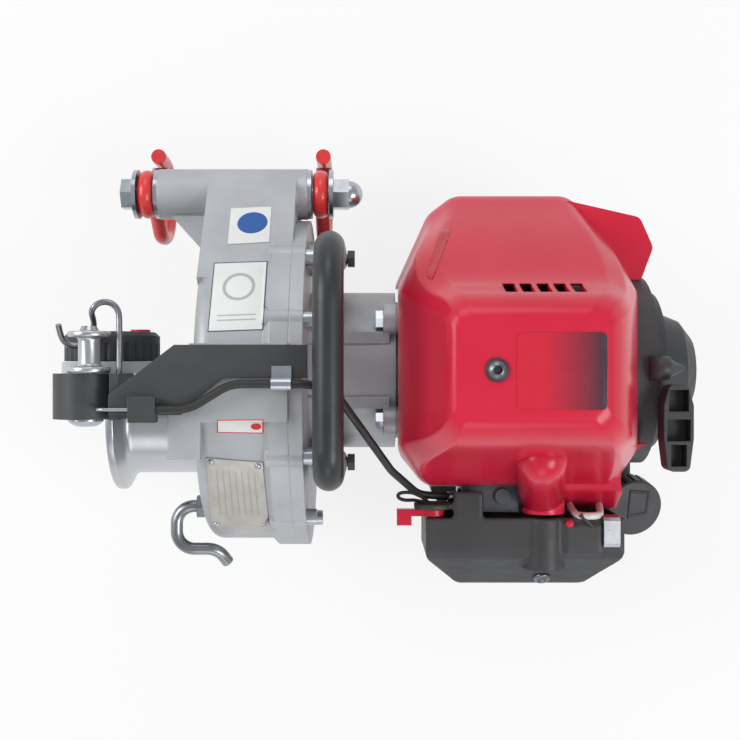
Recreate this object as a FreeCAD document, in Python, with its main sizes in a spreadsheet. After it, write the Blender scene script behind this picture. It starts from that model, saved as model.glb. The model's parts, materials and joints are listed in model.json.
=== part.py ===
import FreeCAD, Part
import math
import os
import re
import Sketcher

# Portable petrol capstan winch, millimetres. X runs along the drum and crank axes toward the engine,
# Y toward the anchor hooks, Z up. The origin is on the ground under the middle of the gear case.

V = FreeCAD.Vector

DIMS = {
    # common fits
    "overrun": 2.0, "run_fit": 0.05, "seat_gap": 0.4, "bolt_slack": 0.3,
    # shaft axes
    "crank_y": 8.0, "drum_y": -22.5, "drum_drop": 25.0,
    # gear case
    "case_room": 12.56, "case_wall": 7.0, "case_left": 26.0, "case_right": 29.0, "case_face": 6.0,
    "case_corner": 9.0, "cover_thick": 8.0, "flange_rise": 4.0, "flange_width": 11.0, "foot_cut": 4.0,
    "foot_half": 28.0, "foot_high": 12.0, "ear_radius": 7.0, "ear_inset": 6.0, "ear_depth": 14.0,
    "pad_half": 21.0, "pad_root": 16.0, "lug_depth": 12.0, "lug_thick": 9.0, "lug_back": 42.0,
    "lug_front": 2.0,
    # anchor tube, bolt and washers
    "anchor_reach": 20.2, "anchor_rise": 12.0, "tube_radius": 16.0, "tube_left": 58.8, "tube_right": 35.6,
    "tube_lip": 2.0, "gusset_half": 7.0, "gusset_foot": 76.0, "bolt_radius": 6.0, "bolt_flat": 18.0,
    "bolt_head": 8.0, "washer_radius": 15.5, "washer_thick": 2.5, "nut_body": 10.0, "nut_dome_radius": 8.6,
    # hooks
    "eye_radius": 17.0, "eye_width": 9.5, "hook_rod": 5.0, "hook_drop": 55.0, "hook_bowl": 25.0,
    "hook_side": 4.0, "latch_thick": 1.6, "latch_width": 7.0, "latch_pin_radius": 1.8, "latch_drop": 22.0,
    "latch_side": 8.5, "latch_eye": 3.6,
    # bearings
    "drum_bearing_radius": 21.0, "drum_bearing_width": 12.0, "drum_bearing_rear": 16.0,
    "lay_bearing_radius": 11.0, "bearing_width": 7.0, "input_bearing_radius": 14.0,
    "input_bearing_depth": 11.0, "boss_wall": 4.0, "boss_depth": 9.0,
    # gear train
    "gear_clear": 1.0, "backlash": 0.16, "module_one": 1.25, "module_two": 1.5, "module_three": 2.0,
    "face_one": 8.0, "face_two": 10.0, "face_three": 14.0, "plane_one": 16.0, "plane_two": 5.0,
    "plane_three": -10.0, "lay_radius": 6.5, "lay_journal": 4.0, "input_radius": 6.0,
    "drum_shaft_radius": 10.0,
    # drum
    "drum_radius": 38.0, "drum_rim_radius": 49.0, "drum_root_radius": 42.0, "drum_gap": 1.0,
    "drum_flare": 72.0, "drum_end": 92.0, "drum_rim": 2.5, "drum_root": 4.0, "flare_arc": 25.0,
    "drum_bowl": 33.0, "drum_hub": 17.0, "drum_web": 48.0, "drum_hub_end": 82.0, "drum_bolt_flange": 15.0,
    "drum_bolt_collar": 3.0, "drum_bolt_flat": 19.0, "drum_bolt_head": 6.5, "drum_bolt_shank": 24.0,
    # clutch
    "bell_wall": 5.0, "bell_room": 6.0, "bell_length": 54.0, "bell_flange": 8.0, "bell_lug_out": 6.3,
    "bell_lug_radius": 9.0, "bell_rib_width": 7.0, "bell_rib_rise": 3.0,
    "cup_radius": 39.0, "cup_wall": 3.0, "cup_gap": 4.0, "cup_web": 4.0, "cup_length": 28.0,
    "shoe_clear": 2.5, "shoe_seat": 0.2, "shoe_room": 2.0, "shoe_width": 18.0, "shoe_gap": 7.0,
    "hub_radius": 17.0,
    # small bolts and screws
    "six_radius": 3.0, "six_flat": 10.0, "six_head": 4.5, "six_shank": 12.0, "cap_radius": 5.0,
    "cap_head": 6.0, "cap_socket": 2.9, "cap_socket_depth": 3.0, "cap_shank": 18.0,
    # carrying handle
    "grip_radius": 8.5, "grip_room": 0.9, "grip_rise": 24.0, "grip_clear": 8.0, "grip_high": 78.0,
    "grip_bend_low": 14.0, "grip_bend_high": 32.0, "grip_foot_rise": 22.0, "handle_lug": 11.0,
    # rope arm
    "arm_rise": 6.0, "arm_thick": 5.0, "arm_right": 40.0, "arm_back": 22.0, "arm_front": 3.5,
    "arm_neck": 7.0, "arm_turn_x": 25.0, "arm_turn_y": 11.5, "arm_step_x": 30.0, "arm_step_y": 17.0,
    "arm_left": 70.0, "arm_notch_y": 6.0, "arm_corner": 33.6, "tab_thick": 5.0, "tab_drop": 40.0,
    "arm_low": 20.0, "clamp_left": 58.0, "clamp_right": 43.0, "clamp_front": 21.0, "clamp_back": 7.0,
    "clamp_rise": 7.0,
    # throttle control at the end of the arm
    "control_reach": 19.0, "control_radius": 18.0, "control_drop": 20.0, "control_foot": 54.0,
    "control_bolt_radius": 10.0, "control_bolt_rise": 4.5, "control_bolt_drop": 2.0, "knob_reach": 12.0,
    "knob_drop": 60.0, "base_radius": 30.0, "base_thick": 7.0, "knob_radius": 28.5, "knob_thick": 17.5,
    "knob_rib": 1.4, "knob_corner": 2.5, "knob_post": 8.0, "index_offset": 17.0, "index_radius": 6.0,
    "index_rise": 1.6, "index_depth": 4.0, "wire_inset": 5.4,
    # rope guides
    "pulley_reach": 14.0, "pulley_drop": 9.5, "pulley_flange": 12.0, "pulley_barrel": 6.5,
    "pulley_length": 24.0, "pulley_lip": 2.6, "axle_radius": 3.0, "axle_head": 5.5, "axle_head_rise": 2.5,
    "axle_depth": 12.0, "pig_radius": 1.75, "pig_bend": 7.9, "pig_top": 49.0, "pig_high_drop": 12.0,
    "pig_low_drop": 27.5, "pig_dip_y": 35.0, "pig_reach": 34.0, "pig_turn_y": 23.5, "pig_tip_y": 34.0,
    "pig_seat": 8.0, "entry_radius": 3.8, "entry_y": -76.5, "entry_rise": 33.0, "entry_bend": 11.0,
    "entry_reach": 19.0, "entry_far": -92.0, "entry_tip_x": -14.0, "entry_tip_y": -112.0,
    "entry_drop": 6.0, "entry_nut_flat": 13.0, "entry_nut": 6.0,
    # throttle cable
    "cable_radius": 2.4, "cable_bend": 24.0, "wire_radius": 0.9, "wire_y": -13.8, "wire_lift": 3.6,
    "clip_x": 26.0, "clip_y": 0.3, "clip_width": 11.0, "clip_wall": 1.2, "clip_half": 5.0,
    "cable_dip_x": 88.0, "cable_dip_y": -53.0, "cable_dip_z": 152.0, "cable_turn_x": 105.0,
    "cable_turn_y": -69.0, "cable_turn_z": 136.0, "cable_end_x": 128.0, "cable_end_y": -71.0,
    "cable_end_z": 131.0,
    # engine block, crank and flywheel
    "block_radius": 44.0, "block_long": 105.0, "sump_half": 38.0, "sump_room": 2.0, "bore_shift": 1.5,
    "fin_room": 5.5, "fin_thick": 2.5, "fin_pitch": 8.0, "fin_rise": 50.0,
    "head_room": 26.0, "head_high": 16.0, "crank_radius": 8.0, "crank_tail": 6.0,
    "fly_radius": 50.0, "fly_gap": 6.0, "fly_thick": 8.0, "fly_hub": 16.0, "fly_room": 15.0,
    "blade_thick": 3.0, "blade_room": 4.0, "blade_root": 20.0,
    # red top cover
    "hood_gap": 1.0, "hood_over": 46.0, "hood_near": 74.0, "hood_far": 108.0, "hood_rise": 143.0,
    "hood_base": 4.0, "hood_wall": 2.6, "hood_round": 16.0, "hood_mouth": 39.0, "notch_half": 52.0,
    "notch_deep": 20.0, "post_in": 90.0, "post_radius": 13.0, "post_rise": 38.0,
    "post_out": 88.0, "lobe_wide": 37.0, "lobe_room": 13.5, "lobe_out": 87.0, "lobe_root": 44.0,
    "lobe_low": 12.0, "lobe_high": 62.0, "lobe_arc": 22.0, "lobe_round": 6.0, "slot_in": 78.6,
    "slot_pitch": 9.4, "slot_width": 6.6, "slot_back": 45.0, "slot_high": 5.5, "slot_deep": 40.0,
    "louvre_width": 17.0, "louvre_pitch": 24.0, "louvre_high": 5.0, 
    "louvre_deep": 16.0, "hood_screw_radius": 5.3, "hood_screw_head": 3.6, "hood_screw_shank": 3.0,
    "flap_thick": 2.6, "flap_rise": 18.0, "flap_out": 162.0, "flap_back": 107.0, "flap_front": 48.0,
    "flap_in": 108.0, "flap_round": 6.0,
    # fan cover and recoil starter
    "fan_room": 7.0, "fan_wall": 3.0, "fan_gap": 4.0, "fan_out": 6.0, "fan_step": 5.0,
    "recoil_wall": 2.5, "recoil_rim": 7.0, "recoil_taper": 2.0,
    "recoil_step": 2.0, "recoil_nose_radius": 38.0, "recoil_nose": 24.0, "recoil_tip_radius": 32.0,
    "recoil_end": 32.0, "recoil_end_radius": 22.0, "recoil_slot": 5.0, "recoil_slot_in": 14.0,
    "recoil_slot_out": 19.0, "reel_radius": 26.0, "reel_in": 4.0, "reel_width": 7.0, "reel_post": 6.0,
    "rope_radius": 1.75, "rope_tail": 18.0, "handle_high": 15.0, "handle_wide": 17.5,
    "handle_long": 51.0, "handle_wall": 2.6, "handle_round": 4.0, "handle_down": 8.0, "handle_in": 1.0,
    "bush_radius": 4.5,
    # exhaust and carburettor
    "muffler_in": 27.0, "muffler_deep": 42.0, "muffler_low": 2.0,
    "muffler_high": 36.0, "muffler_round": 8.0, "port_radius": 10.0, "carb_in": 41.0, "carb_long": 35.0,
    "carb_low": 6.0, "carb_high": 36.0, "carb_out": 88.0, "carb_root": 54.0, "carb_bowl_radius": 13.0,
    "carb_throat": 11.0, "carb_screw": 5.0, "lever_radius": 7.0, "lever_thick": 2.0, "lever_arm": 13.0,
    "lever_rise": 22.0, "lever_out": 71.0, "lever_post": 2.5,
    # air cleaner and choke
    "filter_in": 18.0, "filter_long": 121.0, "filter_back": 90.0, "filter_deep": 45.0, "filter_low": 16.0,
    "filter_high": 48.0, "filter_wall": 2.6, "filter_round": 9.0, "filter_foam": 14.0, "filter_slope": 22.0,
    "filter_brow": 28.0, "filter_side": 20.0, "filter_corner": 21.0, "filter_post": 33.0,
    "filter_tab_in": 17.0, "filter_tab_wide": 18.0, "filter_tab_deep": 16.0, "pad_in": 85.0,
    "pad_wide": 22.0, "pad_deep": 18.0, "pad_start": 4.0, "pad_proud": 1.2, "choke_in": 5.0,
    "choke_rise": 40.0, "choke_long": 22.5, "choke_paddle": 9.0, "choke_half": 3.5,
    "choke_thick": 4.2, "choke_lip": 5.6, "choke_hub": 6.5, "choke_post": 2.5, "choke_disc": 12.0,
    "choke_disc_thick": 3.4, "choke_boss": 5.0,
    # fuel tank and cap
    "tank_in": 27.0, "tank_long": 140.0, "tank_front": 96.0, "tank_back": 62.0,
    "tank_round": 14.0, "neck_in": 155.0, "neck_out": 83.5, "neck_sink": 8.0, "neck_radius": 15.5,
    "neck_long": 36.0, "cap_over": 19.5, "cap_deep": 15.0, "cap_rib": 1.3, "cap_cover": 9.0,
}

# Places and sizes that follow from the driving ones
LINKS = {
    "case_radius": "hypot(drum_y; drum_drop) + module_three * tooth_reach_share + case_room + case_wall",
    "flange_radius": "case_radius + flange_rise",
    "crank_z": "flange_radius - foot_cut",
    "drum_z": "crank_z - drum_drop",
    "ear_circle": "flange_radius - ear_inset",
    "anchor_y": "case_radius + anchor_reach",
    "anchor_z": "crank_z + anchor_rise",
    "web_lean": "atan2(anchor_rise; anchor_y)",
    "web_open": "acos((case_radius - tube_radius) / hypot(anchor_y; anchor_rise))",
    "drum_start": "case_left + drum_gap",
    "arm_z": "crank_z + case_radius + arm_rise",
    "lug_low": "arm_z - lug_thick",
    "tab_low": "arm_z - tab_drop",
    "control_x": "-arm_left - control_reach",
    "control_top": "arm_z - control_drop",
    "control_low": "control_top - control_foot",
    "control_bolt_z": "control_top - control_bolt_drop",
    "knob_x": "-arm_left - knob_reach",
    "knob_z": "arm_z - knob_drop",
    "pulley_x": "-arm_left - pulley_reach",
    "pulley_z": "arm_z - pulley_drop",
    "pig_x": "-arm_left + tab_thick / 2",
    "pig_high_z": "arm_z - pig_high_drop",
    "pig_low_z": "arm_z - pig_low_drop",
    "entry_z": "crank_z + entry_rise",
    "wire_z": "arm_z + arm_thick + wire_lift",
    "wire_x": "control_x + control_radius - wire_inset",
    "cover_face": "case_right + cover_thick",
    "grip_x": "cover_face + cap_head + grip_room + grip_radius",
    "grip_z": "arm_z + grip_rise",
    "grip_foot_z": "crank_z + grip_foot_rise",
    "grip_low": "crank_y - bell_radius - grip_clear",
    "bell_radius": "cup_radius + bell_room + bell_wall",
    "bell_lug_circle": "bell_radius + bell_lug_out",
    "bell_rib": "bell_lug_circle * 16 / 45",
    "cup_start": "cover_face + cup_gap",
    "cup_end": "cup_start + cup_length",
    "shoe_start": "cup_start + cup_web + shoe_room",
    "shoe_radius": "cup_radius - cup_wall - shoe_clear",
    "shoe_inner": "hub_radius + shoe_seat",
    "engine_x": "cover_face + bell_length",
    "block_end": "engine_x + block_long",
    "head_half": "block_long * 9 / 35",
    "bore_radius": "block_long * 11 / 35",
    "fin_radius": "bore_radius + fin_room",
    "bore_x": "engine_x + block_long / 2 - bore_shift",
    "hood_left": "engine_x + hood_gap",
    "hood_long": "block_long + hood_over",
    "hood_tail": "hood_left + hood_long",
    "lobe_right": "hood_tail - lobe_room",
    "lobe_left": "lobe_right - lobe_wide",
    "hood_front": "crank_y - hood_near",
    "hood_top": "crank_z + hood_rise",
    "hood_base_z": "crank_z + hood_base",
    "notch_rise": "bell_lug_circle * 5 / 6 + bell_lug_radius + seat_gap",
    "louvre_rise": "hood_rise * 6 / 11",
    "head_top": "hood_top - head_room",
    "post_x": "hood_left + post_in",
    "post_z": "crank_z + post_rise",
    "post_y": "crank_y - post_out",
    "fan_start": "block_end + fan_gap",
    "fan_end": "hood_tail + fan_out",
    "fan_radius": "fly_radius + fan_room + fan_wall",
    "fan_lip": "fan_radius - fan_step",
    "recoil_radius": "fan_lip - fan_wall",
    "recoil_rim_radius": "recoil_radius - recoil_taper",
    "fly_start": "fan_start + fly_gap",
    "fly_end": "fan_end - fly_room",
    "crank_end": "fan_end - crank_tail",
    "reel_x": "fan_end + reel_in",
    "rope_x": "reel_x + reel_width / 2",
    "rope_y": "crank_y - reel_radius",
    "handle_lift": "fan_radius + 2 * seat_gap",
    "handle_z": "crank_z + handle_lift",
    "carb_left": "engine_x + carb_in",
    "carb_right": "carb_left + carb_long",
    "carb_front": "crank_y - carb_out",
    "carb_back": "crank_y - carb_root",
    "lever_y": "crank_y - lever_out",
    "lever_z": "crank_z + lever_rise",
    "filter_left": "engine_x + filter_in",
    "filter_right": "filter_left + filter_long",
    "filter_mouth": "crank_y - filter_back",
    "filter_front": "filter_mouth - filter_deep",
    "filter_floor": "crank_z - filter_low",
    "filter_top": "crank_z + filter_high",
    "filter_post_end": "filter_mouth - filter_post",
    "choke_x": "filter_left + choke_in",
    "choke_z": "crank_z + choke_rise",
    "choke_back": "filter_mouth + seat_gap + choke_thick",
    "sump_drop": "fan_radius + sump_room",
    "tank_high": "crank_z - sump_drop",
    "neck_low": "tank_high - neck_sink",
    "neck_x": "engine_x + neck_in",
    "neck_y": "crank_y - neck_out",
}

# Counts, angles and shares
TOOTH_COUNTS = {"small": 12, "first": 48, "second": 48, "out": 45}
ADDENDUM_SHARE = 0.9
DEDENDUM_SHARE = 1.15
FIRST_SHAFT_ANGLE = 60
PRESSURE_ANGLE = 20
LUG_ANGLE = 56.6
EAR_ANGLES = [40, 68, 115, 145, 200, 240, 300, 320]
FIN_COUNT = 5
BLADE_COUNT = 10
SLOT_COUNT = 5
LOUVRE_COUNT = 4
SLIT_COUNT = 6
KNOB_RIB_COUNT = 30
CAP_RIB_COUNT = 20
LINKS["tooth_reach_share"] = str(TOOTH_COUNTS["out"] / 2 + ADDENDUM_SHARE)

doc = FreeCAD.newDocument("capstan_winch")
sheet = doc.addObject("Spreadsheet::Sheet", "Dims")
for row, (alias, value) in enumerate(DIMS.items(), start=1):
    sheet.set("A%d" % row, alias)
    sheet.set("B%d" % row, str(value))
    sheet.setAlias("B%d" % row, alias)
doc.recompute()

WORDS = re.compile(r"\b(" + "|".join(sorted([*DIMS, *LINKS], key=len, reverse=True)) + r")\b")
nodes = []


def q(expression):
    # Driving names become cells of the sheet, the others are written out in full.
    def spell(match):
        word = match.group(1)
        return "(%s)" % q(LINKS[word]) if word in LINKS else "Dims." + word
    return WORDS.sub(spell, str(expression))


def num(expression):
    value = sheet.evalExpression(q(expression))
    return float(getattr(value, "Value", value))


def nums(*expressions):
    return tuple(num(expression) for expression in expressions)


def bind(obj, path, expression):
    obj.setExpression(path, q(expression))


TURN = {
    "x": FreeCAD.Rotation(V(0, 1, 0), 90),
    "-x": FreeCAD.Rotation(V(0, 1, 0), -90),
    "y": FreeCAD.Rotation(V(1, 0, 0), -90),
    "-y": FreeCAD.Rotation(V(1, 0, 0), 90),
    "z": FreeCAD.Rotation(),
    "-z": FreeCAD.Rotation(V(1, 0, 0), 180),
}
LATHE = {
    "x": FreeCAD.Rotation(),
    "-x": FreeCAD.Rotation(V(0, 0, 1), 180),
    "y": FreeCAD.Rotation(V(0, 0, 1), 90),
    "-y": FreeCAD.Rotation(V(0, 0, 1), -90),
    "z": FreeCAD.Rotation(V(0, 1, 0), -90),
}


def place(obj, at, rotation=None):
    if rotation is not None:
        obj.Placement = FreeCAD.Placement(V(), rotation)
    for letter, expression in zip("xyz", at):
        if str(expression) != "0":
            bind(obj, "Placement.Base." + letter, expression)
    return obj


def cyl(name, radius, length, at, axis="x"):
    obj = doc.addObject("Part::Cylinder", name)
    bind(obj, "Radius", radius)
    bind(obj, "Height", length)
    return place(obj, at, TURN[axis])


def box(name, x, y, z):
    obj = doc.addObject("Part::Box", name)
    for path, (low, high) in zip(("Length", "Width", "Height"), (x, y, z)):
        bind(obj, path, "(%s) - (%s)" % (high, low))
    return place(obj, (x[0], y[0], z[0]))


def hexagon(name, flat, length, at, axis="x"):
    obj = doc.addObject("Part::Prism", name)
    obj.Polygon = 6
    bind(obj, "Circumradius", "(%s) / 2 / cos(30)" % flat)
    bind(obj, "Height", length)
    return place(obj, at, TURN[axis])


def fuse(name, shapes):
    obj = doc.addObject("Part::MultiFuse", name)
    obj.Shapes = shapes
    obj.Refine = True
    return obj


def cut(name, base, tools):
    obj = doc.addObject("Part::Cut", name)
    obj.Base = base
    obj.Tool = tools[0] if len(tools) == 1 else fuse(name + "_tools", tools)
    obj.Refine = True
    return obj


def common(name, shapes):
    obj = doc.addObject("Part::MultiCommon", name)
    obj.Shapes = shapes
    return obj


def group(name, shapes):
    obj = doc.addObject("Part::Compound", name)
    obj.Links = shapes
    return obj


def computed(name, shape, at=(0, 0, 0), rotation=None):
    obj = doc.addObject("Part::Feature", name)
    obj.Shape = shape
    return place(obj, at, rotation)


def node(label, obj):
    obj.Label = label
    nodes.append(obj)
    return obj


def shifted(at, x):
    # The same axis at another station along X.
    return (x,) + tuple(at[1:])


def origin_feature(body, role):
    return [item for item in body.Origin.OriginFeatures if item.Role == role][0]


def outline(body, role, points):
    # A closed loop; a point with a third and fourth item starts an arc of that radius and turning side.
    sketch = body.newObject("Sketcher::SketchObject", body.Name + "_outline")
    sketch.AttachmentSupport = [(origin_feature(body, role), "")]
    sketch.MapMode = "FlatFace"
    spots = [V(num(point[0]), num(point[1]), 0) for point in points]
    ends = []
    for index, point in enumerate(points):
        here = spots[index]
        there = spots[(index + 1) % len(points)]
        if len(point) == 2:
            sketch.addGeometry(Part.LineSegment(here, there), False)
            ends.append((1, 2))
            continue
        radius = num(point[2])
        side = point[3]
        along = there - here
        rise = math.sqrt(max(radius ** 2 - (along.Length / 2) ** 2, 0))
        left = V(-along.y, along.x, 0).normalize()
        middle = (here + there) * 0.5 + left * (rise * side)
        start = math.atan2(here.y - middle.y, here.x - middle.x)
        stop = math.atan2(there.y - middle.y, there.x - middle.x)
        circle = Part.Circle(middle, V(0, 0, 1), radius)
        if side > 0:
            sketch.addGeometry(Part.ArcOfCircle(circle, start, stop), False)
            ends.append((1, 2))
        else:
            sketch.addGeometry(Part.ArcOfCircle(circle, stop, start), False)
            ends.append((2, 1))
    for index in range(len(points)):
        after = (index + 1) % len(points)
        sketch.addConstraint(
            Sketcher.Constraint("Coincident", index, ends[index][1], after, ends[after][0]))
    for index, point in enumerate(points):
        for kind, item in (("DistanceX", 0), ("DistanceY", 1)):
            value = spots[index][item]
            where = ends[index][0]
            number = sketch.addConstraint(Sketcher.Constraint(kind, -1, 1, index, where, value))
            bind(sketch, "Constraints[%d]" % number, point[item])
        if len(point) > 2:
            number = sketch.addConstraint(Sketcher.Constraint("Radius", index, num(point[2])))
            bind(sketch, "Constraints[%d]" % number, point[2])
    return sketch


def turned(name, points, at=(0, 0, 0), axis="x"):
    # A lathe-turned body: points are (along the axis, radius).
    body = doc.addObject("PartDesign::Body", name)
    sketch = outline(body, "XY_Plane", points)
    turn = body.newObject("PartDesign::Revolution", name + "_turn")
    turn.Profile = sketch
    turn.ReferenceAxis = (origin_feature(body, "X_Axis"), [""])
    turn.Angle = 360
    body.Tip = turn
    return place(body, at, LATHE[axis] if isinstance(axis, str) else axis)


def padded(name, plane, points, length, at=(0, 0, 0), soft=None, sharp=()):
    # An outline pushed out along X (plane YZ), Z (plane XY) or Y (plane XZ). With a soft radius, all its
    # corners are rounded but the sharp ones, which are named by their place in the outline.
    body = doc.addObject("PartDesign::Body", name)
    sketch = outline(body, plane + "_Plane", points)
    pad = body.newObject("PartDesign::Pad", name + "_pad")
    pad.Profile = sketch
    bind(pad, "Length", length)
    pad.Reversed = plane == "XZ"
    body.Tip = pad
    if soft is not None:
        doc.recompute()
        first, second, across = {"YZ": (1, 2, 0), "XY": (0, 1, 2), "XZ": (0, 2, 1)}[plane]
        corners = [nums(*point[:2]) for spot, point in enumerate(points) if spot not in sharp]
        picked = []
        for index, edge in enumerate(pad.Shape.Edges, start=1):
            here, there = edge.Vertexes[0].Point, edge.Vertexes[-1].Point
            if abs(here[across] - there[across]) < num("run_fit"):
                continue
            if any(math.hypot(here[first] - a, here[second] - b) < num("run_fit") for a, b in corners):
                picked.append("Edge%d" % index)
        round_edges = body.newObject("PartDesign::Fillet", name + "_round")
        round_edges.Base = (pad, picked)
        bind(round_edges, "Radius", soft)
        body.Tip = round_edges
    return place(body, at)


def corner_arc(before, corner, after, radius):
    # Start, apex and end of the tangent arc that rounds a corner.
    back = (before - corner).normalize()
    ahead = (after - corner).normalize()
    half = back.getAngle(ahead) / 2
    trim = radius / math.tan(half)
    middle = corner + (back + ahead).normalize() * (radius / math.sin(half))
    apex = middle + (corner - middle).normalize() * radius
    return corner + back * trim, apex, corner + ahead * trim


def rod(points, radius, bends):
    # A round rod along straight runs joined by tangent arcs, one bend radius for each inner point.
    spots = [V(*point) for point in points]
    edges = []
    last = spots[0]
    for before, corner, after, bend in zip(spots, spots[1:], spots[2:], bends):
        enter, apex, leave = corner_arc(before, corner, after, bend)
        edges.append(Part.LineSegment(last, enter).toShape())
        edges.append(Part.Arc(enter, apex, leave).toShape())
        last = leave
    edges.append(Part.LineSegment(last, spots[-1]).toShape())
    way = (spots[1] - spots[0]).normalize()
    ring = Part.Wire([Part.Circle(spots[0], way, radius).toShape()])
    return Part.Wire(edges).makePipeShell([ring], True, False)


def round_loop(corners, radius):
    # A closed wire with every corner rounded.
    arcs = [corner_arc(corners[index - 1], corner, corners[(index + 1) % len(corners)], radius)
            for index, corner in enumerate(corners)]
    edges = []
    for index, (enter, apex, leave) in enumerate(arcs):
        edges.append(Part.Arc(enter, apex, leave).toShape())
        edges.append(Part.LineSegment(leave, arcs[(index + 1) % len(arcs)][0]).toShape())
    return Part.Wire(edges)


def gear(module, teeth, face, bore, phase):
    # Involute spur gear with its axis along X, a tooth centred at the phase angle from +Y toward +Z.
    pressure = math.radians(PRESSURE_ANGLE)
    pitch = module * teeth / 2
    base = pitch * math.cos(pressure)
    tip = pitch + module * ADDENDUM_SHARE
    root = pitch - module * DEDENDUM_SHARE
    half = math.pi / 2 / teeth - num("backlash") / 2 / pitch

    def involute(angle):
        return math.tan(angle) - angle

    flank = []
    start = max(base, root)
    for step in range(5):
        radius = start + (tip - start) * step / 4
        angle = half + involute(pressure) - involute(math.acos(min(base / radius, 1)))
        flank.append((radius, angle))
    foot = [root] if root < start else []
    spots = []
    for tooth in range(teeth):
        centre = phase + 2 * math.pi * tooth / teeth
        around = [(radius, -flank[0][1]) for radius in foot]
        around += [(radius, -angle) for radius, angle in flank]
        around += [(radius, angle) for radius, angle in reversed(flank)]
        around += [(radius, flank[0][1]) for radius in foot]
        spots += [V(0, r * math.cos(centre + a), r * math.sin(centre + a)) for r, a in around]
    spots.append(spots[0])
    solid = Part.Face(Part.makePolygon(spots)).extrude(V(face, 0, 0))
    if bore:
        over = num("overrun")
        solid = solid.cut(Part.makeCylinder(bore, face + 2 * over, V(-over, 0, 0), V(1, 0, 0)))
    return solid


# Shaft layout: pitch circles set the second shaft where its two meshes cross
def reach(module, wheel_name):
    return num(module) * (TOOTH_COUNTS["small"] + TOOTH_COUNTS[wheel_name]) / 2


first_turn = math.radians(FIRST_SHAFT_ANGLE)
crank_mid = V(0, *nums("crank_y", "crank_z"))
drum_mid = V(0, *nums("drum_y", "drum_z"))
first_mid = crank_mid + V(0, math.cos(first_turn), math.sin(first_turn)) * reach("module_one", "first")
span = drum_mid - first_mid
along_span = (reach("module_two", "second") ** 2 - reach("module_three", "out") ** 2 + span.Length ** 2)
along_span /= 2 * span.Length
lift = math.sqrt(reach("module_two", "second") ** 2 - along_span ** 2)
second_mid = first_mid + span * (along_span / span.Length) + V(0, span.z, -span.y).normalize() * lift
crank_at = (0, "crank_y", "crank_z")
drum_at = (0, "drum_y", "drum_z")
anchor_at = (0, "anchor_y", "anchor_z")
first_at = (0, repr(first_mid.y), repr(first_mid.z))
second_at = (0, repr(second_mid.y), repr(second_mid.z))
lay_axes = (first_at, second_at)


def heading(start, end):
    return math.atan2(end.z - start.z, end.y - start.y)


# Gear housing casting: cup with its flange, anchor web and tube, foot, arm pad and bearing bosses
cup = turned("housing_cup", [
    ("-case_left", "0"), ("-case_left", "case_radius - case_corner", "case_corner", -1),
    ("case_corner - case_left", "case_radius"), ("case_right - flange_width - flange_rise", "case_radius"),
    ("case_right - flange_width", "flange_radius"), ("case_right", "flange_radius"), ("case_right", "0")],
    (0, 0, "crank_z"))
web = padded("housing_web", "YZ", [
    ("0", "crank_z"),
    ("case_radius * cos(web_lean - web_open)", "crank_z + case_radius * sin(web_lean - web_open)"),
    ("anchor_y + tube_radius * cos(web_lean - web_open)",
     "anchor_z + tube_radius * sin(web_lean - web_open)"),
    ("anchor_y + tube_radius * cos(web_lean + web_open)",
     "anchor_z + tube_radius * sin(web_lean + web_open)"),
    ("case_radius * cos(web_lean + web_open)", "crank_z + case_radius * sin(web_lean + web_open)")],
    "case_left + case_right", ("-case_left", 0, 0))
tube = cyl("housing_tube", "tube_radius", "tube_left + tube_right", shifted(anchor_at, "-tube_left"))
gusset = padded("housing_gusset", "XY", [
    ("-tube_left + tube_lip", "anchor_y"), ("-tube_left + tube_lip", "anchor_y - tube_radius / 2"),
    ("-case_left + tube_lip", "gusset_foot"), ("-case_left + tube_lip", "anchor_y")],
    "2 * gusset_half", (0, 0, "anchor_z - gusset_half"))
crown = box("housing_crown", ("-case_left", "case_right"), ("-pad_half", "pad_half + tube_lip"),
            ("arm_z - pad_root", "arm_z"))
shelf = box("housing_shelf", ("-case_left - lug_depth", "-case_left + case_face"),
            ("-lug_back", "lug_front"), ("lug_low", "arm_z"))
foot = box("housing_foot", ("-case_left", "case_right"), ("-foot_half", "foot_half"), ("0", "foot_high"))


def ear_at(angle, x):
    return (x, "ear_circle * cos(%d)" % angle, "crank_z + ear_circle * sin(%d)" % angle)


ears = [cyl("housing_ear", "ear_radius", "ear_depth", ear_at(angle, "case_right - ear_depth"))
        for angle in EAR_ANGLES]
solid_case = fuse("housing_solid", [cup, web, tube, gusset, crown, shelf, foot] + ears)
cavity = cyl("housing_cavity", "case_radius - case_wall", "case_left + case_right - case_face + overrun",
             ("case_face - case_left", 0, "crank_z"))
hollow = cut("housing_hollow", solid_case, [cavity])
front_seat = "case_face + boss_depth - case_left"
bosses = [cyl("housing_boss", "lay_bearing_radius + boss_wall", "boss_depth + case_face / 2",
              shifted(axis, "case_face / 2 - case_left")) for axis in lay_axes]
bosses.append(cyl("housing_drum_boss", "drum_bearing_radius + boss_wall", "case_face + boss_depth",
                  shifted(drum_at, "-case_left")))
filled = fuse("housing_filled", [hollow] + bosses)
ARM_HOLES = [("-case_left - lug_depth / 2", "-arm_turn_y"), ("-case_left - lug_depth / 2", "clip_y")]
cuts = [cyl("housing_lay_bore", "lay_bearing_radius", "bearing_width + overrun",
            shifted(axis, front_seat + " - bearing_width")) for axis in lay_axes]
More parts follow.
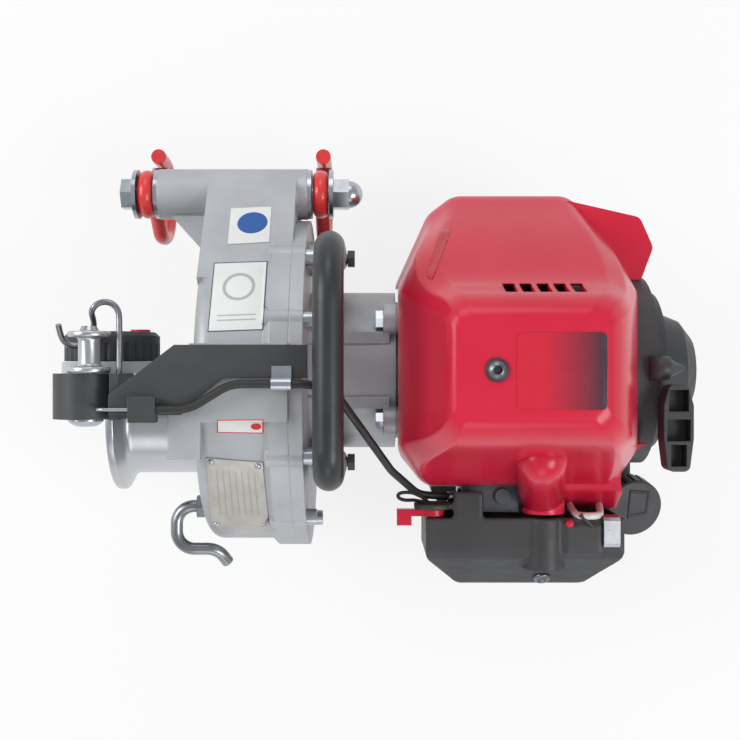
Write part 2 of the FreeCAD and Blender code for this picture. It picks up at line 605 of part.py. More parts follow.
cuts += [
    cyl("housing_drum_bore", "drum_bearing_radius", "drum_bearing_width + overrun",
        shifted(drum_at, front_seat + " - drum_bearing_width")),
    cyl("housing_drum_hole", "drum_shaft_radius + seat_gap", "case_face + boss_depth",
        shifted(drum_at, "-case_left - overrun")),
    cyl("housing_bolt_hole", "bolt_radius", "tube_left + tube_right + 2 * overrun",
        shifted(anchor_at, "-tube_left - overrun")),
    cyl("housing_entry_hole", "entry_radius", "case_face + overrun",
        ("-case_left - overrun", "entry_y", "entry_z")),
    box("housing_ground", ("-case_left - overrun", "case_right + overrun"),
        ("-flange_radius", "flange_radius"), ("-2 * case_wall", "0"))]
cuts += [cyl("housing_ear_hole", "six_radius", "ear_depth + overrun",
             ear_at(angle, "case_right - ear_depth")) for angle in EAR_ANGLES]
cuts += [cyl("housing_arm_hole", "six_radius + bolt_slack", "lug_thick + 2 * overrun",
             (x, y, "lug_low - overrun"), "z") for x, y in ARM_HOLES]
node("gear_housing", cut("gear_housing", filled, cuts))

# Gear cover with the rear bearing seats and the handle lugs
LEGS = [("grip_low", "grip_foot_z"), ("grip_high", "grip_foot_z")]
leg_seat = "grip_x - grip_radius"
plate = cyl("cover_plate", "flange_radius", "cover_thick", ("case_right", 0, "crank_z"))
cover_ears = [cyl("cover_ear", "ear_radius", "cover_thick", ear_at(angle, "case_right"))
              for angle in EAR_ANGLES]
input_boss = cyl("cover_input_boss", "input_bearing_radius + boss_wall",
                 "input_bearing_depth + gear_clear",
                 shifted(crank_at, "cover_face - input_bearing_depth - gear_clear"))
lugs = [cyl("cover_lug", "handle_lug", leg_seat + " - case_right", ("case_right", y, z)) for y, z in LEGS]
cover_solid = fuse("cover_solid", [plate, input_boss] + cover_ears + lugs)
cuts = [cyl("cover_lay_bore", "lay_bearing_radius", "bearing_width + overrun",
            shifted(axis, "case_right - overrun")) for axis in lay_axes]
cuts += [
    cyl("cover_drum_bore", "drum_bearing_rear", "bearing_width + overrun",
        shifted(drum_at, "case_right - overrun")),
    cyl("cover_input_bore", "input_bearing_radius", "input_bearing_depth + overrun",
        shifted(crank_at, "cover_face - gear_clear - input_bearing_depth - overrun")),
    cyl("cover_input_hole", "input_radius + seat_gap", "cover_thick",
        shifted(crank_at, "case_right + overrun")),
    box("cover_ground", ("case_right - overrun", "cover_face + overrun"),
        ("-flange_radius", "flange_radius"), ("-2 * case_wall", "0"))]
cuts += [cyl("cover_ear_hole", "six_radius + bolt_slack", "cover_thick + 2 * overrun",
             ear_at(angle, "case_right - overrun")) for angle in EAR_ANGLES]
cuts += [cyl("cover_leg_hole", "six_radius", "six_shank + overrun",
             (leg_seat + " - six_shank", y, z)) for y, z in LEGS]
node("gear_cover", cut("gear_cover", cover_solid, cuts))


def cap_screw(name, at):
    seat = at[0]
    head = cyl(name + "_head", "cap_radius", "cap_head", at)
    shank = cyl(name + "_shank", "six_radius", "cap_shank + overrun", shifted(at, seat + " - cap_shank"))
    socket = hexagon(name + "_socket", "2 * cap_socket", "cap_socket_depth + overrun",
                     shifted(at, seat + " + cap_head - cap_socket_depth"))
    return cut(name, fuse(name + "_body", [head, shank]), [socket])


node("cover_screws", group("cover_screws", [cap_screw("cover_screw", ear_at(angle, "cover_face"))
                                            for angle in EAR_ANGLES]))


# Bearings, each one ring
def ring(name, inner, outer, width, at):
    hole = cyl(name + "_inner", inner, "%s + 2 * overrun" % width, shifted(at, "%s - overrun" % at[0]))
    return cut(name, cyl(name + "_outer", outer, width, at), [hole])


node("drum_bearings", group("drum_bearings", [
    ring("drum_bearing", "drum_shaft_radius + run_fit", "drum_bearing_radius", "drum_bearing_width",
         shifted(drum_at, front_seat + " - drum_bearing_width")),
    ring("drum_bearing_back", "drum_shaft_radius + run_fit", "drum_bearing_rear", "bearing_width",
         shifted(drum_at, "case_right"))]))
rings = []
for axis in lay_axes:
    for seat in (front_seat + " - bearing_width", "case_right"):
        rings.append(ring("lay_bearing", "lay_journal + run_fit", "lay_bearing_radius", "bearing_width",
                          shifted(axis, seat)))
for seat in ("cover_face - gear_clear - input_bearing_depth",
             "cover_face - gear_clear - input_bearing_depth / 2"):
    rings.append(ring("input_bearing", "input_radius + run_fit", "input_bearing_radius",
                      "input_bearing_depth / 2", shifted(crank_at, seat)))
node("shaft_bearings", group("shaft_bearings", rings))

# Gear train: pinions cut on their shafts, and the wheels that they drive
way_one = heading(crank_mid, first_mid)
way_two = heading(first_mid, second_mid)
way_three = heading(second_mid, drum_mid)


def pinion(name, module, face, plane, way, at):
    teeth = gear(num(module), TOOTH_COUNTS["small"], num(face), 0, way)
    return computed(name, teeth, shifted(at, plane))


def lay_shaft(name, at, teeth):
    low = front_seat + " - bearing_width"
    journal = cyl(name + "_journal", "lay_journal", "case_right + bearing_width - (%s)" % low,
                  shifted(at, low))
    stem = cyl(name + "_stem", "lay_radius", "case_right - (%s) - 2 * gear_clear" % front_seat,
               shifted(at, front_seat + " + gear_clear"))
    return node(name, fuse(name, [journal, stem, teeth]))


def wheel(name, module, teeth, face, bore, way, at):
    phase = way + math.pi + math.pi / teeth
    return node(name, computed(name, gear(num(module), teeth, num(face), num(bore), phase), at))


stem = cyl("input_stem", "input_radius", "cup_start - plane_one - face_one + cup_web",
           shifted(crank_at, "plane_one + face_one"))
node("input_shaft", fuse("input_shaft", [
    pinion("input_pinion", "module_one", "face_one", "plane_one", way_one, crank_at), stem]))
lay_shaft("first_shaft", first_at,
          pinion("first_pinion", "module_two", "face_two", "plane_two", way_two, first_at))
lay_shaft("second_shaft", second_at,
          pinion("second_pinion", "module_three", "face_three", "plane_three", way_three, second_at))
wheel("first_wheel", "module_one", TOOTH_COUNTS["first"], "face_one", "lay_radius", way_one,
      shifted(first_at, "plane_one"))
wheel("second_wheel", "module_two", TOOTH_COUNTS["second"], "face_two", "lay_radius", way_two,
      shifted(second_at, "plane_two"))
wheel("output_wheel", "module_three", TOOTH_COUNTS["out"], "face_three", "drum_shaft_radius", way_three,
      shifted(drum_at, "plane_three"))

# Capstan drum on its shaft
shaft = cyl("drum_shaft_body", "drum_shaft_radius", "drum_hub_end + case_right + bearing_width",
            shifted(drum_at, "-drum_hub_end"))
tap = cyl("drum_shaft_tap", "bolt_radius", "drum_bolt_shank + overrun",
          shifted(drum_at, "-drum_hub_end - overrun"))
node("drum_shaft", cut("drum_shaft", shaft, [tap]))
node("drum", turned("drum", [
    ("-drum_start", "drum_shaft_radius"), ("-drum_start", "drum_root_radius - drum_root"),
    ("-drum_start - drum_root", "drum_root_radius"), ("-drum_start - 2 * drum_root", "drum_radius"),
    ("-drum_flare", "drum_radius", "flare_arc", 1), ("-drum_end + drum_rim", "drum_rim_radius"),
    ("-drum_end", "drum_rim_radius"), ("-drum_end", "drum_rim_radius - 2 * drum_rim"),
    ("-drum_flare", "drum_bowl"), ("-drum_web", "drum_bowl"), ("-drum_web", "drum_hub"),
    ("-drum_hub_end", "drum_hub"), ("-drum_hub_end", "drum_shaft_radius")], drum_at))
head = hexagon("drum_bolt_hex", "drum_bolt_flat", "drum_bolt_head + drum_bolt_collar / 2",
               shifted(drum_at, "-drum_hub_end - drum_bolt_collar / 2"), "-x")
collar = cyl("drum_bolt_disc", "drum_bolt_flange", "drum_bolt_collar",
             shifted(drum_at, "-drum_hub_end"), "-x")
shank = cyl("drum_bolt_stem", "bolt_radius", "drum_bolt_shank + drum_bolt_collar",
            shifted(drum_at, "-drum_hub_end - drum_bolt_collar"))
node("drum_bolt", fuse("drum_bolt", [head, collar, shank]))

# Centrifugal clutch: drum on the input shaft, hub and shoes on the crankshaft
LUGS = [("crank_y + %d * bell_lug_circle * cos(%g)" % (a, LUG_ANGLE),
         "crank_z + %d * bell_lug_circle * sin(%g)" % (b, LUG_ANGLE)) for a in (-1, 1) for b in (-1, 1)]
parts = [cyl("bell_tube", "bell_radius", "bell_length", shifted(crank_at, "cover_face"))]
parts += [cyl("bell_lug", "bell_lug_radius", "bell_flange", ("engine_x - bell_flange", y, z))
          for y, z in LUGS]
for side in (-1, 1):
    for up in (-1, 1):
        edge = "crank_y + %d * bell_rib" % side
        level = "crank_z + %d * sqrt(bell_radius ^ 2 - bell_rib ^ 2)" % up
        parts.append(box("bell_rib_bar", ("cover_face", "engine_x - bell_flange / 2"),
                         (edge + " - bell_rib_width / 2", edge + " + bell_rib_width / 2"),
                         (level + " - bell_rib_rise", level + " + bell_rib_rise")))
bell_cuts = [cyl("bell_bore", "bell_radius - bell_wall", "bell_length + 2 * overrun",
                 shifted(crank_at, "cover_face - overrun"))]
bell_cuts += [cyl("bell_lug_hole", "six_radius + bolt_slack", "bell_flange + 2 * overrun",
                  ("engine_x - bell_flange - overrun", y, z)) for y, z in LUGS]
node("clutch_housing", cut("clutch_housing", fuse("bell_solid", parts), bell_cuts))
node("clutch_drum", turned("clutch_drum", [
    ("cup_start", "input_radius"), ("cup_start", "cup_radius"), ("cup_end", "cup_radius"),
    ("cup_end", "cup_radius - cup_wall"), ("cup_start + cup_web", "cup_radius - cup_wall"),
    ("cup_start + cup_web", "input_radius")], crank_at))
node("clutch_hub", turned("clutch_hub", [
    ("shoe_start", "crank_radius"), ("shoe_start", "hub_radius"), ("shoe_start + shoe_width", "hub_radius"),
    ("shoe_start + shoe_width", "crank_radius")], crank_at))
shoe_ring = turned("shoe_ring", [
    ("shoe_start", "shoe_inner"), ("shoe_start", "shoe_radius"), ("shoe_start + shoe_width", "shoe_radius"),
    ("shoe_start + shoe_width", "shoe_inner")], crank_at)
shoe_split = box("shoe_split", ("shoe_start - overrun", "shoe_start + shoe_width + overrun"),
                 ("crank_y - shoe_radius - overrun", "crank_y + shoe_radius + overrun"),
                 ("crank_z - shoe_gap / 2", "crank_z + shoe_gap / 2"))
node("clutch_shoes", cut("clutch_shoes", shoe_ring, [shoe_split]))


def hex_bolt(name, at, axis, index):
    # The head sits outside the seat at this point, the shank runs the other way along the axis.
    back = {"-x": "x", "-z": "z"}[axis]
    root = list(at)
    root[index] = "(%s) - six_head / 2" % at[index]
    return fuse(name, [hexagon(name + "_head", "six_flat", "six_head", at, axis),
                       cyl(name + "_shank", "six_radius", "six_shank + six_head / 2", root, back)])


bolts = [hex_bolt("flange_bolt", ("engine_x - bell_flange", y, z), "-x", 0) for y, z in LUGS]
bolts += [hex_bolt("arm_bolt", (x, y, "lug_low"), "-z", 2) for x, y in ARM_HOLES]
node("case_bolts", group("case_bolts", bolts))

# Anchor bolt, nut and washers
stack = "(2 * washer_thick + eye_width + 4 * seat_gap)"
head_x = "(-tube_left - %s)" % stack
nut_x = "(tube_right + %s)" % stack
bolt_hex = hexagon("anchor_head", "bolt_flat", "bolt_head", shifted(anchor_at, head_x), "-x")
shank = cyl("anchor_shank", "bolt_radius", "%s - %s + nut_body - 2 * seat_gap" % (nut_x, head_x),
            shifted(anchor_at, head_x))
node("anchor_bolt", fuse("anchor_bolt", [bolt_hex, shank]))
nut_hex = hexagon("anchor_nut_hex", "bolt_flat", "nut_body", shifted(anchor_at, nut_x))
nut_dome = turned("anchor_nut_dome", [
    ("nut_body / 2", "0"), ("nut_body / 2", "nut_dome_radius"),
    ("nut_body", "nut_dome_radius", "nut_dome_radius", -1), ("nut_body + nut_dome_radius", "0")],
    shifted(anchor_at, nut_x))
nut_bore = cyl("anchor_nut_bore", "bolt_radius", "nut_body + overrun - seat_gap",
               shifted(anchor_at, nut_x + " - overrun"))
node("anchor_nut", cut("anchor_nut", fuse("anchor_nut_solid", [nut_hex, nut_dome]), [nut_bore]))
WASHERS = ["-tube_left - washer_thick", head_x, "tube_right", nut_x + " - washer_thick"]
node("anchor_washers", group("anchor_washers", [
    ring("anchor_washer", "bolt_radius + bolt_slack", "washer_radius", "washer_thick",
         shifted(anchor_at, x)) for x in WASHERS]))

# Anchor hooks: eye, shank and bowl in one forging with a pin for the safety latch
EYES = {"left": "-tube_left - washer_thick - 2 * seat_gap - eye_width",
        "right": "tube_right + washer_thick + 2 * seat_gap"}
eye_arc_share = 0.55
hook_bend_shares = (0.4, 0.5, 0.92, 0.92)
heel_share, tip_out_share, tip_up_share, latch_up_share = 0.35, 1.08, 0.75, 0.45


def hook(side):
    eye_x = EYES[side]
    mid = eye_x + " + eye_width / 2"
    eye = turned(side + "_eye", [
        ("0", "bolt_radius + bolt_slack"),
        ("0", "eye_radius - eye_width / 2", "eye_width * %g" % eye_arc_share, -1),
        ("eye_width", "eye_radius - eye_width / 2"), ("eye_width", "bolt_radius + bolt_slack")],
        shifted(anchor_at, eye_x))
    bowl, drop, aside = nums("hook_bowl", "hook_drop", "hook_side")
    spots = [(0, 0, -num("eye_radius - hook_rod")), (0, 0, -num("latch_drop")),
             (0, aside - bowl, bowl * heel_share - drop), (0, aside - bowl, -drop - bowl),
             (0, aside + bowl, -drop - bowl), (0, aside + bowl * tip_out_share, bowl * tip_up_share - drop)]
    bends = [bowl * share for share in hook_bend_shares]
    shank = computed(side + "_shank", rod(spots, num("hook_rod"), bends), shifted(anchor_at, mid))
    pin = cyl(side + "_pin", "latch_pin_radius", "latch_width + 2 * latch_thick",
              (mid + " - latch_width / 2 - latch_thick", "anchor_y + latch_side", "anchor_z - latch_drop"))
    ear = box(side + "_pin_web", (mid + " - hook_rod / 2", mid + " + hook_rod / 2"),
              ("anchor_y", "anchor_y + latch_side"),
              ("anchor_z - latch_drop - latch_pin_radius", "anchor_z - latch_drop + latch_pin_radius"))
    return node(side + "_hook", fuse(side + "_hook", [eye, shank, pin, ear]))


def latch(side):
    # A sheet strip with two eyes on the hook's pin, reaching across the throat to the tip.
    half, thick, eye, bowl = nums("latch_width / 2", "latch_thick", "latch_eye", "hook_bowl")
    tip_y = num("hook_side - hook_rod - 4 * seat_gap - latch_side") + bowl * tip_out_share
    tip_z = num("latch_drop - hook_drop") + bowl * latch_up_share
    wide = 2 * (half + thick)
    strip = Part.makeBox(wide, math.hypot(tip_y, tip_z) - eye, thick,
                         V(-wide / 2, eye - thick / 2, -thick / 2))
    for edge in (-half - thick, half):
        cheek = Part.makeCylinder(eye, thick, V(edge, 0, 0), V(1, 0, 0))
        strip = strip.fuse(cheek.fuse(Part.makeBox(thick, 2 * eye, thick, V(edge, 0, -thick / 2))))
    strip = strip.cut(Part.makeBox(2 * half, 3 * eye, 4 * eye, V(-half, -2 * eye, -2 * eye)))
    hole = num("latch_pin_radius + run_fit")
    strip = strip.cut(Part.makeCylinder(hole, 2 * wide, V(-wide, 0, 0), V(1, 0, 0)))
    strip.rotate(V(), V(1, 0, 0), math.degrees(math.atan2(tip_z, tip_y)))
    return node(side + "_latch", computed(side + "_latch", strip.removeSplitter(), (
        EYES[side] + " + eye_width / 2", "anchor_y + latch_side", "anchor_z - latch_drop")))


for side in EYES:
    hook(side)
    latch(side)

# Carrying handle, a bent tube bolted to the two lugs of the cover
low, high, foot_z, grip_top = nums("grip_low", "grip_high", "grip_foot_z - handle_lug", "grip_z")
grip = rod([(0, low, foot_z), (0, low, grip_top), (0, high, grip_top), (0, high, foot_z)],
           num("grip_radius"), nums("grip_bend_low", "grip_bend_high"))
grip_cuts = [cyl("handle_hole", "six_radius + bolt_slack", "2 * grip_radius + 2 * overrun",
                 (leg_seat + " - overrun", y, z)) for y, z in LEGS]
node("carry_handle", cut("carry_handle", computed("handle_tube", grip, ("grip_x", 0, 0)), grip_cuts))


def handle_bolt(name, y, z):
    return fuse(name, [hexagon(name + "_head", "six_flat", "six_head", ("grip_x + grip_radius", y, z), "x"),
                       cyl(name + "_shank", "six_radius", "2 * grip_radius + six_shank + six_head / 2",
                           (leg_seat + " - six_shank", y, z))])


node("handle_bolts", group("handle_bolts", [handle_bolt("handle_bolt", y, z) for y, z in LEGS]))

# Rope arm: cranked plate with a down-turned tab and the cable stop
arm_flat = padded("arm_plate", "XY", [
    ("-arm_corner", "arm_back"), ("arm_right", "arm_back"), ("arm_right", "arm_front"),
    ("-arm_neck", "arm_front"), ("-arm_turn_x", "-arm_turn_y"), ("-arm_step_x", "-arm_step_y"),
    ("-arm_left", "-arm_step_y"), ("-arm_left", "-arm_notch_y")], "arm_thick", (0, 0, "arm_z"))
arm_tab = box("arm_tab", ("-arm_left", "-arm_left + tab_thick"), ("-arm_low", "arm_notch_y"),
              ("tab_low", "arm_z + arm_thick / 2"))
arm_block = box("arm_block", ("-clamp_left", "-clamp_right"), ("-clamp_front", "-clamp_back"),
                ("arm_z + arm_thick / 2", "arm_z + arm_thick + clamp_rise"))
arm_cuts = [cyl("arm_hole", "six_radius", "lug_low + six_shank - arm_z + overrun",
                (x, y, "arm_z - overrun"), "z") for x, y in ARM_HOLES]
arm_cuts.append(cyl("arm_cable_hole", "cable_radius", "clamp_left - clamp_right + 2 * overrun",
                    ("-clamp_left - overrun", "wire_y", "wire_z")))
arm_cuts.append(cyl("arm_pig_hole", "pig_radius", "pig_seat + overrun",
                    ("pig_x", "arm_notch_y - pig_seat", "pig_high_z"), "y"))
node("rope_arm", cut("rope_arm", fuse("arm_solid", [arm_flat, arm_tab, arm_block]), arm_cuts))

# Control housing at the end of the arm, with the throttle base, knob and red index
knob_at = ("knob_x", "arm_notch_y", "knob_z")
pulley_at = ("pulley_x", "arm_notch_y", "pulley_z")
shell_round = cyl("control_round", "control_radius", "arm_low + arm_notch_y",
                  ("control_x", "-arm_low", "control_top"), "y")
shell_leg = box("control_leg", ("control_x - control_radius", "-arm_left"), ("-arm_low", "arm_notch_y"),
                ("tab_low", "control_top"))
shell_foot = box("control_foot_bar", ("knob_x - knob_post", "knob_x + knob_post"),
                 ("arm_notch_y - knob_post", "arm_notch_y"), ("control_low", "control_top"))
control_cuts = [
    cyl("control_axle_hole", "axle_radius", "axle_depth + overrun",
        ("pulley_x", "arm_notch_y - axle_depth", "pulley_z"), "y"),
    cyl("control_bolt_hole", "bolt_radius / 2", "axle_depth + overrun",
        ("control_x", "-arm_low - overrun", "control_bolt_z"), "y"),
    cyl("control_wire_hole", "wire_radius", "2 * control_radius",
        ("wire_x", "wire_y", "control_top + wire_radius"), "z")]
node("control_housing", cut("control_housing", fuse("control_solid", [shell_round, shell_leg, shell_foot]),
                            control_cuts))
node("control_bolt", turned("control_bolt", [
    ("-axle_depth", "0"), ("-axle_depth", "bolt_radius / 2"), ("0", "bolt_radius / 2"),
    ("0", "control_bolt_radius"),
    ("control_bolt_rise / 3", "control_bolt_radius", "control_bolt_radius", -1),
    ("control_bolt_rise", "control_bolt_radius / 2"), ("control_bolt_rise", "0")],
    ("control_x", "-arm_low", "control_bolt_z"), "-y"))
node("throttle_base", turned("throttle_base", [
    ("0", "0"), ("0", "base_radius"), ("base_thick", "base_radius"), ("base_thick", "knob_post"),
    ("base_thick + knob_thick / 2", "knob_post"), ("base_thick + knob_thick / 2", "0")], knob_at, "y"))
knob_y = "arm_notch_y + base_thick + seat_gap"
knob_round = turned("knob_round", [
    ("0", "knob_post + run_fit"), ("0", "knob_radius"), ("knob_thick - knob_corner", "knob_radius"),
    ("knob_thick", "knob_radius - knob_corner"), ("knob_thick", "0"),
    ("knob_thick / 2 + seat_gap", "0"), ("knob_thick / 2 + seat_gap", "knob_post + run_fit")],
    ("knob_x", knob_y, "knob_z"), "y")
knob_cuts = []
for k in range(KNOB_RIB_COUNT):
    turn = 360 / KNOB_RIB_COUNT * k
    knob_cuts.append(cyl("knob_groove", "knob_rib", "knob_thick - 2 * knob_corner", (
        "knob_x + (knob_radius + knob_rib / 3) * cos(%g)" % turn, knob_y + " - overrun",
        "knob_z + (knob_radius + knob_rib / 3) * sin(%g)" % turn), "y"))
index_at = ("knob_x + index_offset", knob_y + " + knob_thick - index_depth", "knob_z")
knob_cuts.append(cyl("knob_index_hole", "index_radius", "index_depth + overrun", index_at, "y"))
node("throttle_knob", cut("throttle_knob", knob_round, knob_cuts))
node("knob_index", cyl("knob_index", "index_radius", "index_depth + index_rise", index_at, "y"))

# Rope guide pulley and its axle screw
node("guide_pulley", turned("guide_pulley", [
    ("seat_gap", "axle_radius + run_fit"), ("seat_gap", "pulley_flange"), ("pulley_lip", "pulley_flange"),
    ("2 * pulley_lip", "pulley_barrel + pulley_lip / 2"), ("pulley_length / 2", "pulley_barrel"),
    ("pulley_length - 2 * pulley_lip", "pulley_barrel + pulley_lip / 2"),
    ("pulley_length - pulley_lip", "pulley_flange"), ("pulley_length", "pulley_flange"),
    ("pulley_length", "axle_radius + run_fit")], pulley_at, "y"))
axle_seat = "pulley_length + seat_gap"
node("pulley_axle", turned("pulley_axle", [
    ("-axle_depth", "0"), ("-axle_depth", "axle_radius"), (axle_seat, "axle_radius"),
    (axle_seat, "axle_head"), (axle_seat + " + axle_head_rise", "axle_head - axle_head_rise / 2"),
    (axle_seat + " + axle_head_rise", "0")], pulley_at, "y"))

# Pigtail guide: one bent wire from the tab, over the loop and under the pulley to its open tip
foot_x, bend, top, up, down = nums("pig_x", "pig_bend", "pig_top", "pig_high_z", "pig_low_z")
seat_y, dip_y, turn_y, tip_x, tip_y = nums(
    "arm_notch_y - pig_seat", "pig_dip_y", "pig_turn_y", "-arm_left - pig_reach", "pig_tip_y")
pig_bend_shares = (0.95, 0.5, 0.4, 0.6, 0.8)
pig = rod([(foot_x, seat_y, up), (foot_x, top, up), (foot_x - 2 * bend, top, up),
           (foot_x - 2 * bend, dip_y, down), (foot_x - 2 * bend, turn_y, down),
           (tip_x, turn_y, down), (tip_x, tip_y, down + bend)],
          num("pig_radius"), [bend * share for share in pig_bend_shares])
node("pigtail_guide", computed("pigtail_guide", pig))

# Rope entry hook screwed into the drum side of the case
entry = rod([nums("-case_left + case_face / 2", "entry_y", "entry_z"),
             nums("-case_left - entry_reach", "entry_y", "entry_z"),
             nums("-case_left - entry_reach", "entry_far - entry_bend", "entry_z"),
             nums("-case_left + entry_reach / 3", "entry_far - entry_bend", "entry_z"),
             nums("entry_tip_x", "entry_tip_y", "entry_z - entry_drop")],
            num("entry_radius"), 3 * [num("entry_bend")])
node("entry_hook", computed("entry_hook", entry))
entry_hex = hexagon("entry_nut_hex", "entry_nut_flat", "entry_nut",
                    ("-case_left - entry_nut", "entry_y", "entry_z"))
entry_bore = cyl("entry_nut_bore", "entry_radius", "entry_nut + 2 * overrun",
                 ("-case_left - entry_nut - overrun", "entry_y", "entry_z"))
node("entry_nut", cut("entry_nut", entry_hex, [entry_bore]))

# Throttle cable: from the stop on the arm, through the clip, under the handle and down to the carburettor
cable_bend_shares = (1.0, 1.0, 1.0, 1.0, 0.9, 0.6)
cable = rod([nums("-clamp_left + arm_thick", "wire_y", "wire_z"), nums("-arm_turn_x", "wire_y", "wire_z"),
             nums("-arm_neck + arm_thick", "clip_y", "wire_z"), nums("grip_x", "clip_y", "wire_z"),
             nums("engine_x - cable_bend", "drum_y", "crank_z + bell_radius + cable_bend - cable_radius"),
             nums("cable_dip_x", "cable_dip_y", "cable_dip_z"),
             nums("cable_turn_x", "cable_turn_y", "cable_turn_z"),
             nums("cable_end_x", "cable_end_y", "cable_end_z")],
            num("cable_radius"), [num("cable_bend") * share for share in cable_bend_shares])
node("throttle_cable", computed("throttle_cable", cable))
wire = rod([nums("arm_thick - clamp_left", "wire_y", "wire_z"), nums("wire_x", "wire_y", "wire_z"),
            nums("wire_x", "wire_y", "control_top + wire_radius")], num("wire_radius"), [num("arm_thick")])
node("throttle_wire", computed("throttle_wire", wire))
clip_x = ("clip_x - clip_width / 2", "clip_x + clip_width / 2")
clip_band = cyl("clip_band", "cable_radius + clip_wall", "clip_width", (clip_x[0], "clip_y", "wire_z"))
clip_foot = box("clip_foot", clip_x, ("clip_y", "clip_y + clip_half * 2"),
                ("wire_z - clip_wall - cable_radius", "wire_z - cable_radius"))
clip_hole = cyl("clip_hole", "cable_radius", "clip_width + 2 * overrun",
                (clip_x[0] + " - overrun", "clip_y", "wire_z"))
node("cable_clip", cut("cable_clip", fuse("clip_solid", [clip_band, clip_foot]), [clip_hole]))

# Engine block: crankcase, sump foot, finned cylinder and head, closed round the crank bore
bore_at = ("bore_x", "crank_y", "crank_z")
case = cyl("block_case", "block_radius", "block_long", shifted(crank_at, "engine_x"))
sump = box("block_sump", ("engine_x + bell_flange", "block_end - bell_flange"),
           ("crank_y - sump_half", "crank_y + sump_half"), ("crank_z - sump_drop", "crank_z"))
barrel = cyl("block_barrel", "bore_radius", "head_top - head_high + overrun - crank_z", bore_at, "z")
head = box("block_head", ("bore_x - head_half", "bore_x + head_half"),
           ("crank_y - head_half", "crank_y + head_half"), ("head_top - head_high", "head_top"))
fins = [cyl("block_fin", "fin_radius", "fin_thick",
            ("bore_x", "crank_y", "crank_z + fin_rise + fin_pitch * %d" % k), "z")
        for k in range(FIN_COUNT)]
port = cyl("block_port", "port_radius", "block_radius",
           ("bore_x", "crank_y", "crank_z + fin_rise - fin_pitch * 2"), "y")
inlet = cyl("block_inlet", "carb_throat", "crank_y - carb_back", ("bore_x", "carb_back", "lever_z"), "y")
bosses = [cyl("block_boss", "bell_lug_radius", "bell_flange * 2", ("engine_x", y, z)) for y, z in LUGS]
for low_lug, high_lug in ((0, 1), (2, 3)):
    edge = LUGS[low_lug][0]
    bosses.append(box("block_web", ("engine_x", "engine_x + bell_flange * 2"),
                      (edge + " - bell_lug_radius / 2", edge + " + bell_lug_radius / 2"),
                      (LUGS[low_lug][1], LUGS[high_lug][1])))
block_cuts = [cyl("block_bore", "crank_radius + run_fit", "block_long + 2 * overrun",
                  shifted(crank_at, "engine_x - overrun"))]
block_cuts += [cyl("block_lug_hole", "six_radius", "six_shank - bell_flange + 2 * overrun",
                   ("engine_x - overrun", y, z)) for y, z in LUGS]
block_solid = fuse("block_solid", [case, sump, barrel, head, port, inlet] + fins + bosses)
node("engine_block", cut("engine_block", block_solid, block_cuts))
node("crankshaft", cyl("crankshaft", "crank_radius", "crank_end - shoe_start",
                       shifted(crank_at, "shoe_start")))
fly_parts = [turned("fly_disc", [
    ("fly_start", "crank_radius"), ("fly_start", "fly_radius"), ("fly_start + fly_thick", "fly_radius"),
    ("fly_start + fly_thick", "fly_hub"), ("fly_end", "fly_hub"), ("fly_end", "crank_radius")], crank_at)]
for k in range(BLADE_COUNT):
    start, over, root, tip, deep, thick = nums(
        "fly_start + fly_thick", "overrun", "blade_root", "fly_radius",
        "fly_end - fly_start - fly_thick - blade_room", "blade_thick")
    blade = Part.makeBox(deep + over, tip - root, thick, V(start - over, root, -thick / 2))
    blade.rotate(V(), V(1, 0, 0), 360 / BLADE_COUNT * k)
    fly_parts.append(computed("fly_blade", blade, crank_at))
node("flywheel", fuse("flywheel", fly_parts))

# Red top cover: level loops blended from the chamfered skirt to the squarer crown, with a front lobe
SKIRT_SHARES = [(0, 0.125), (0.118, 0), (0.889, 0), (1, 0.147), (1, 0.663), (0.837, 0.913), (0.732, 1),
                (0.235, 1), (0.130, 0.935), (0, 0.696)]
CROWN_SHARES = [(0, 0.10), (0.07, 0), (0.93, 0), (1, 0.10), (1, 0.86), (0.965, 0.955), (0.88, 1),
                (0.12, 1), (0.035, 0.955), (0, 0.86)]
# Each row: height, left, right, front and back as shares of the whole hood, then how far it is crown.
HOOD_ROW_SHARES = [
    (0.000, 0.000, 1.000, 0.000, 1.000, 0.0),
    (0.130, 0.000, 0.995, 0.003, 0.989, 0.0),
    (0.331, 0.000, 0.962, 0.030, 0.890, 0.35),
    (0.576, 0.015, 0.905, 0.105, 0.760, 0.8),
    (0.763, 0.090, 0.855, 0.152, 0.668, 1.0),
    (0.906, 0.138, 0.800, 0.192, 0.632, 1.0),
    (0.978, 0.166, 0.748, 0.232, 0.594, 1.0),
    (1.000, 0.206, 0.700, 0.276, 0.550, 1.0)]
least_round_share = 0.4


def hood(name, inset, below):
    # The same rows serve the skin and, set in by the wall, the hollow inside it.
    left, front, base, long, deep = nums(
        "hood_left", "hood_front", "hood_base_z", "hood_long", "hood_near + hood_far")
    rise = num("hood_rise - hood_base") - inset
    loops = []
    for high, west, east, south, north, crown in HOOD_ROW_SHARES:
        x0, x1 = left + long * west + inset, left + long * east - inset
        y0, y1 = front + deep * south + inset, front + deep * north - inset
        level = base + rise * high - (below if high == 0 else 0)
        corners = []
        for (a, b), (c, d) in zip(SKIRT_SHARES, CROWN_SHARES):
            share_x, share_y = a + (c - a) * crown, b + (d - b) * crown
            corners.append(V(x0 + (x1 - x0) * share_x, y0 + (y1 - y0) * share_y, level))
        soft = num("hood_round") * (1 - crown * (1 - least_round_share)) * (y1 - y0) / deep
        loops.append(round_loop(corners, soft))
    return computed(name, Part.makeLoft(loops, True, False))


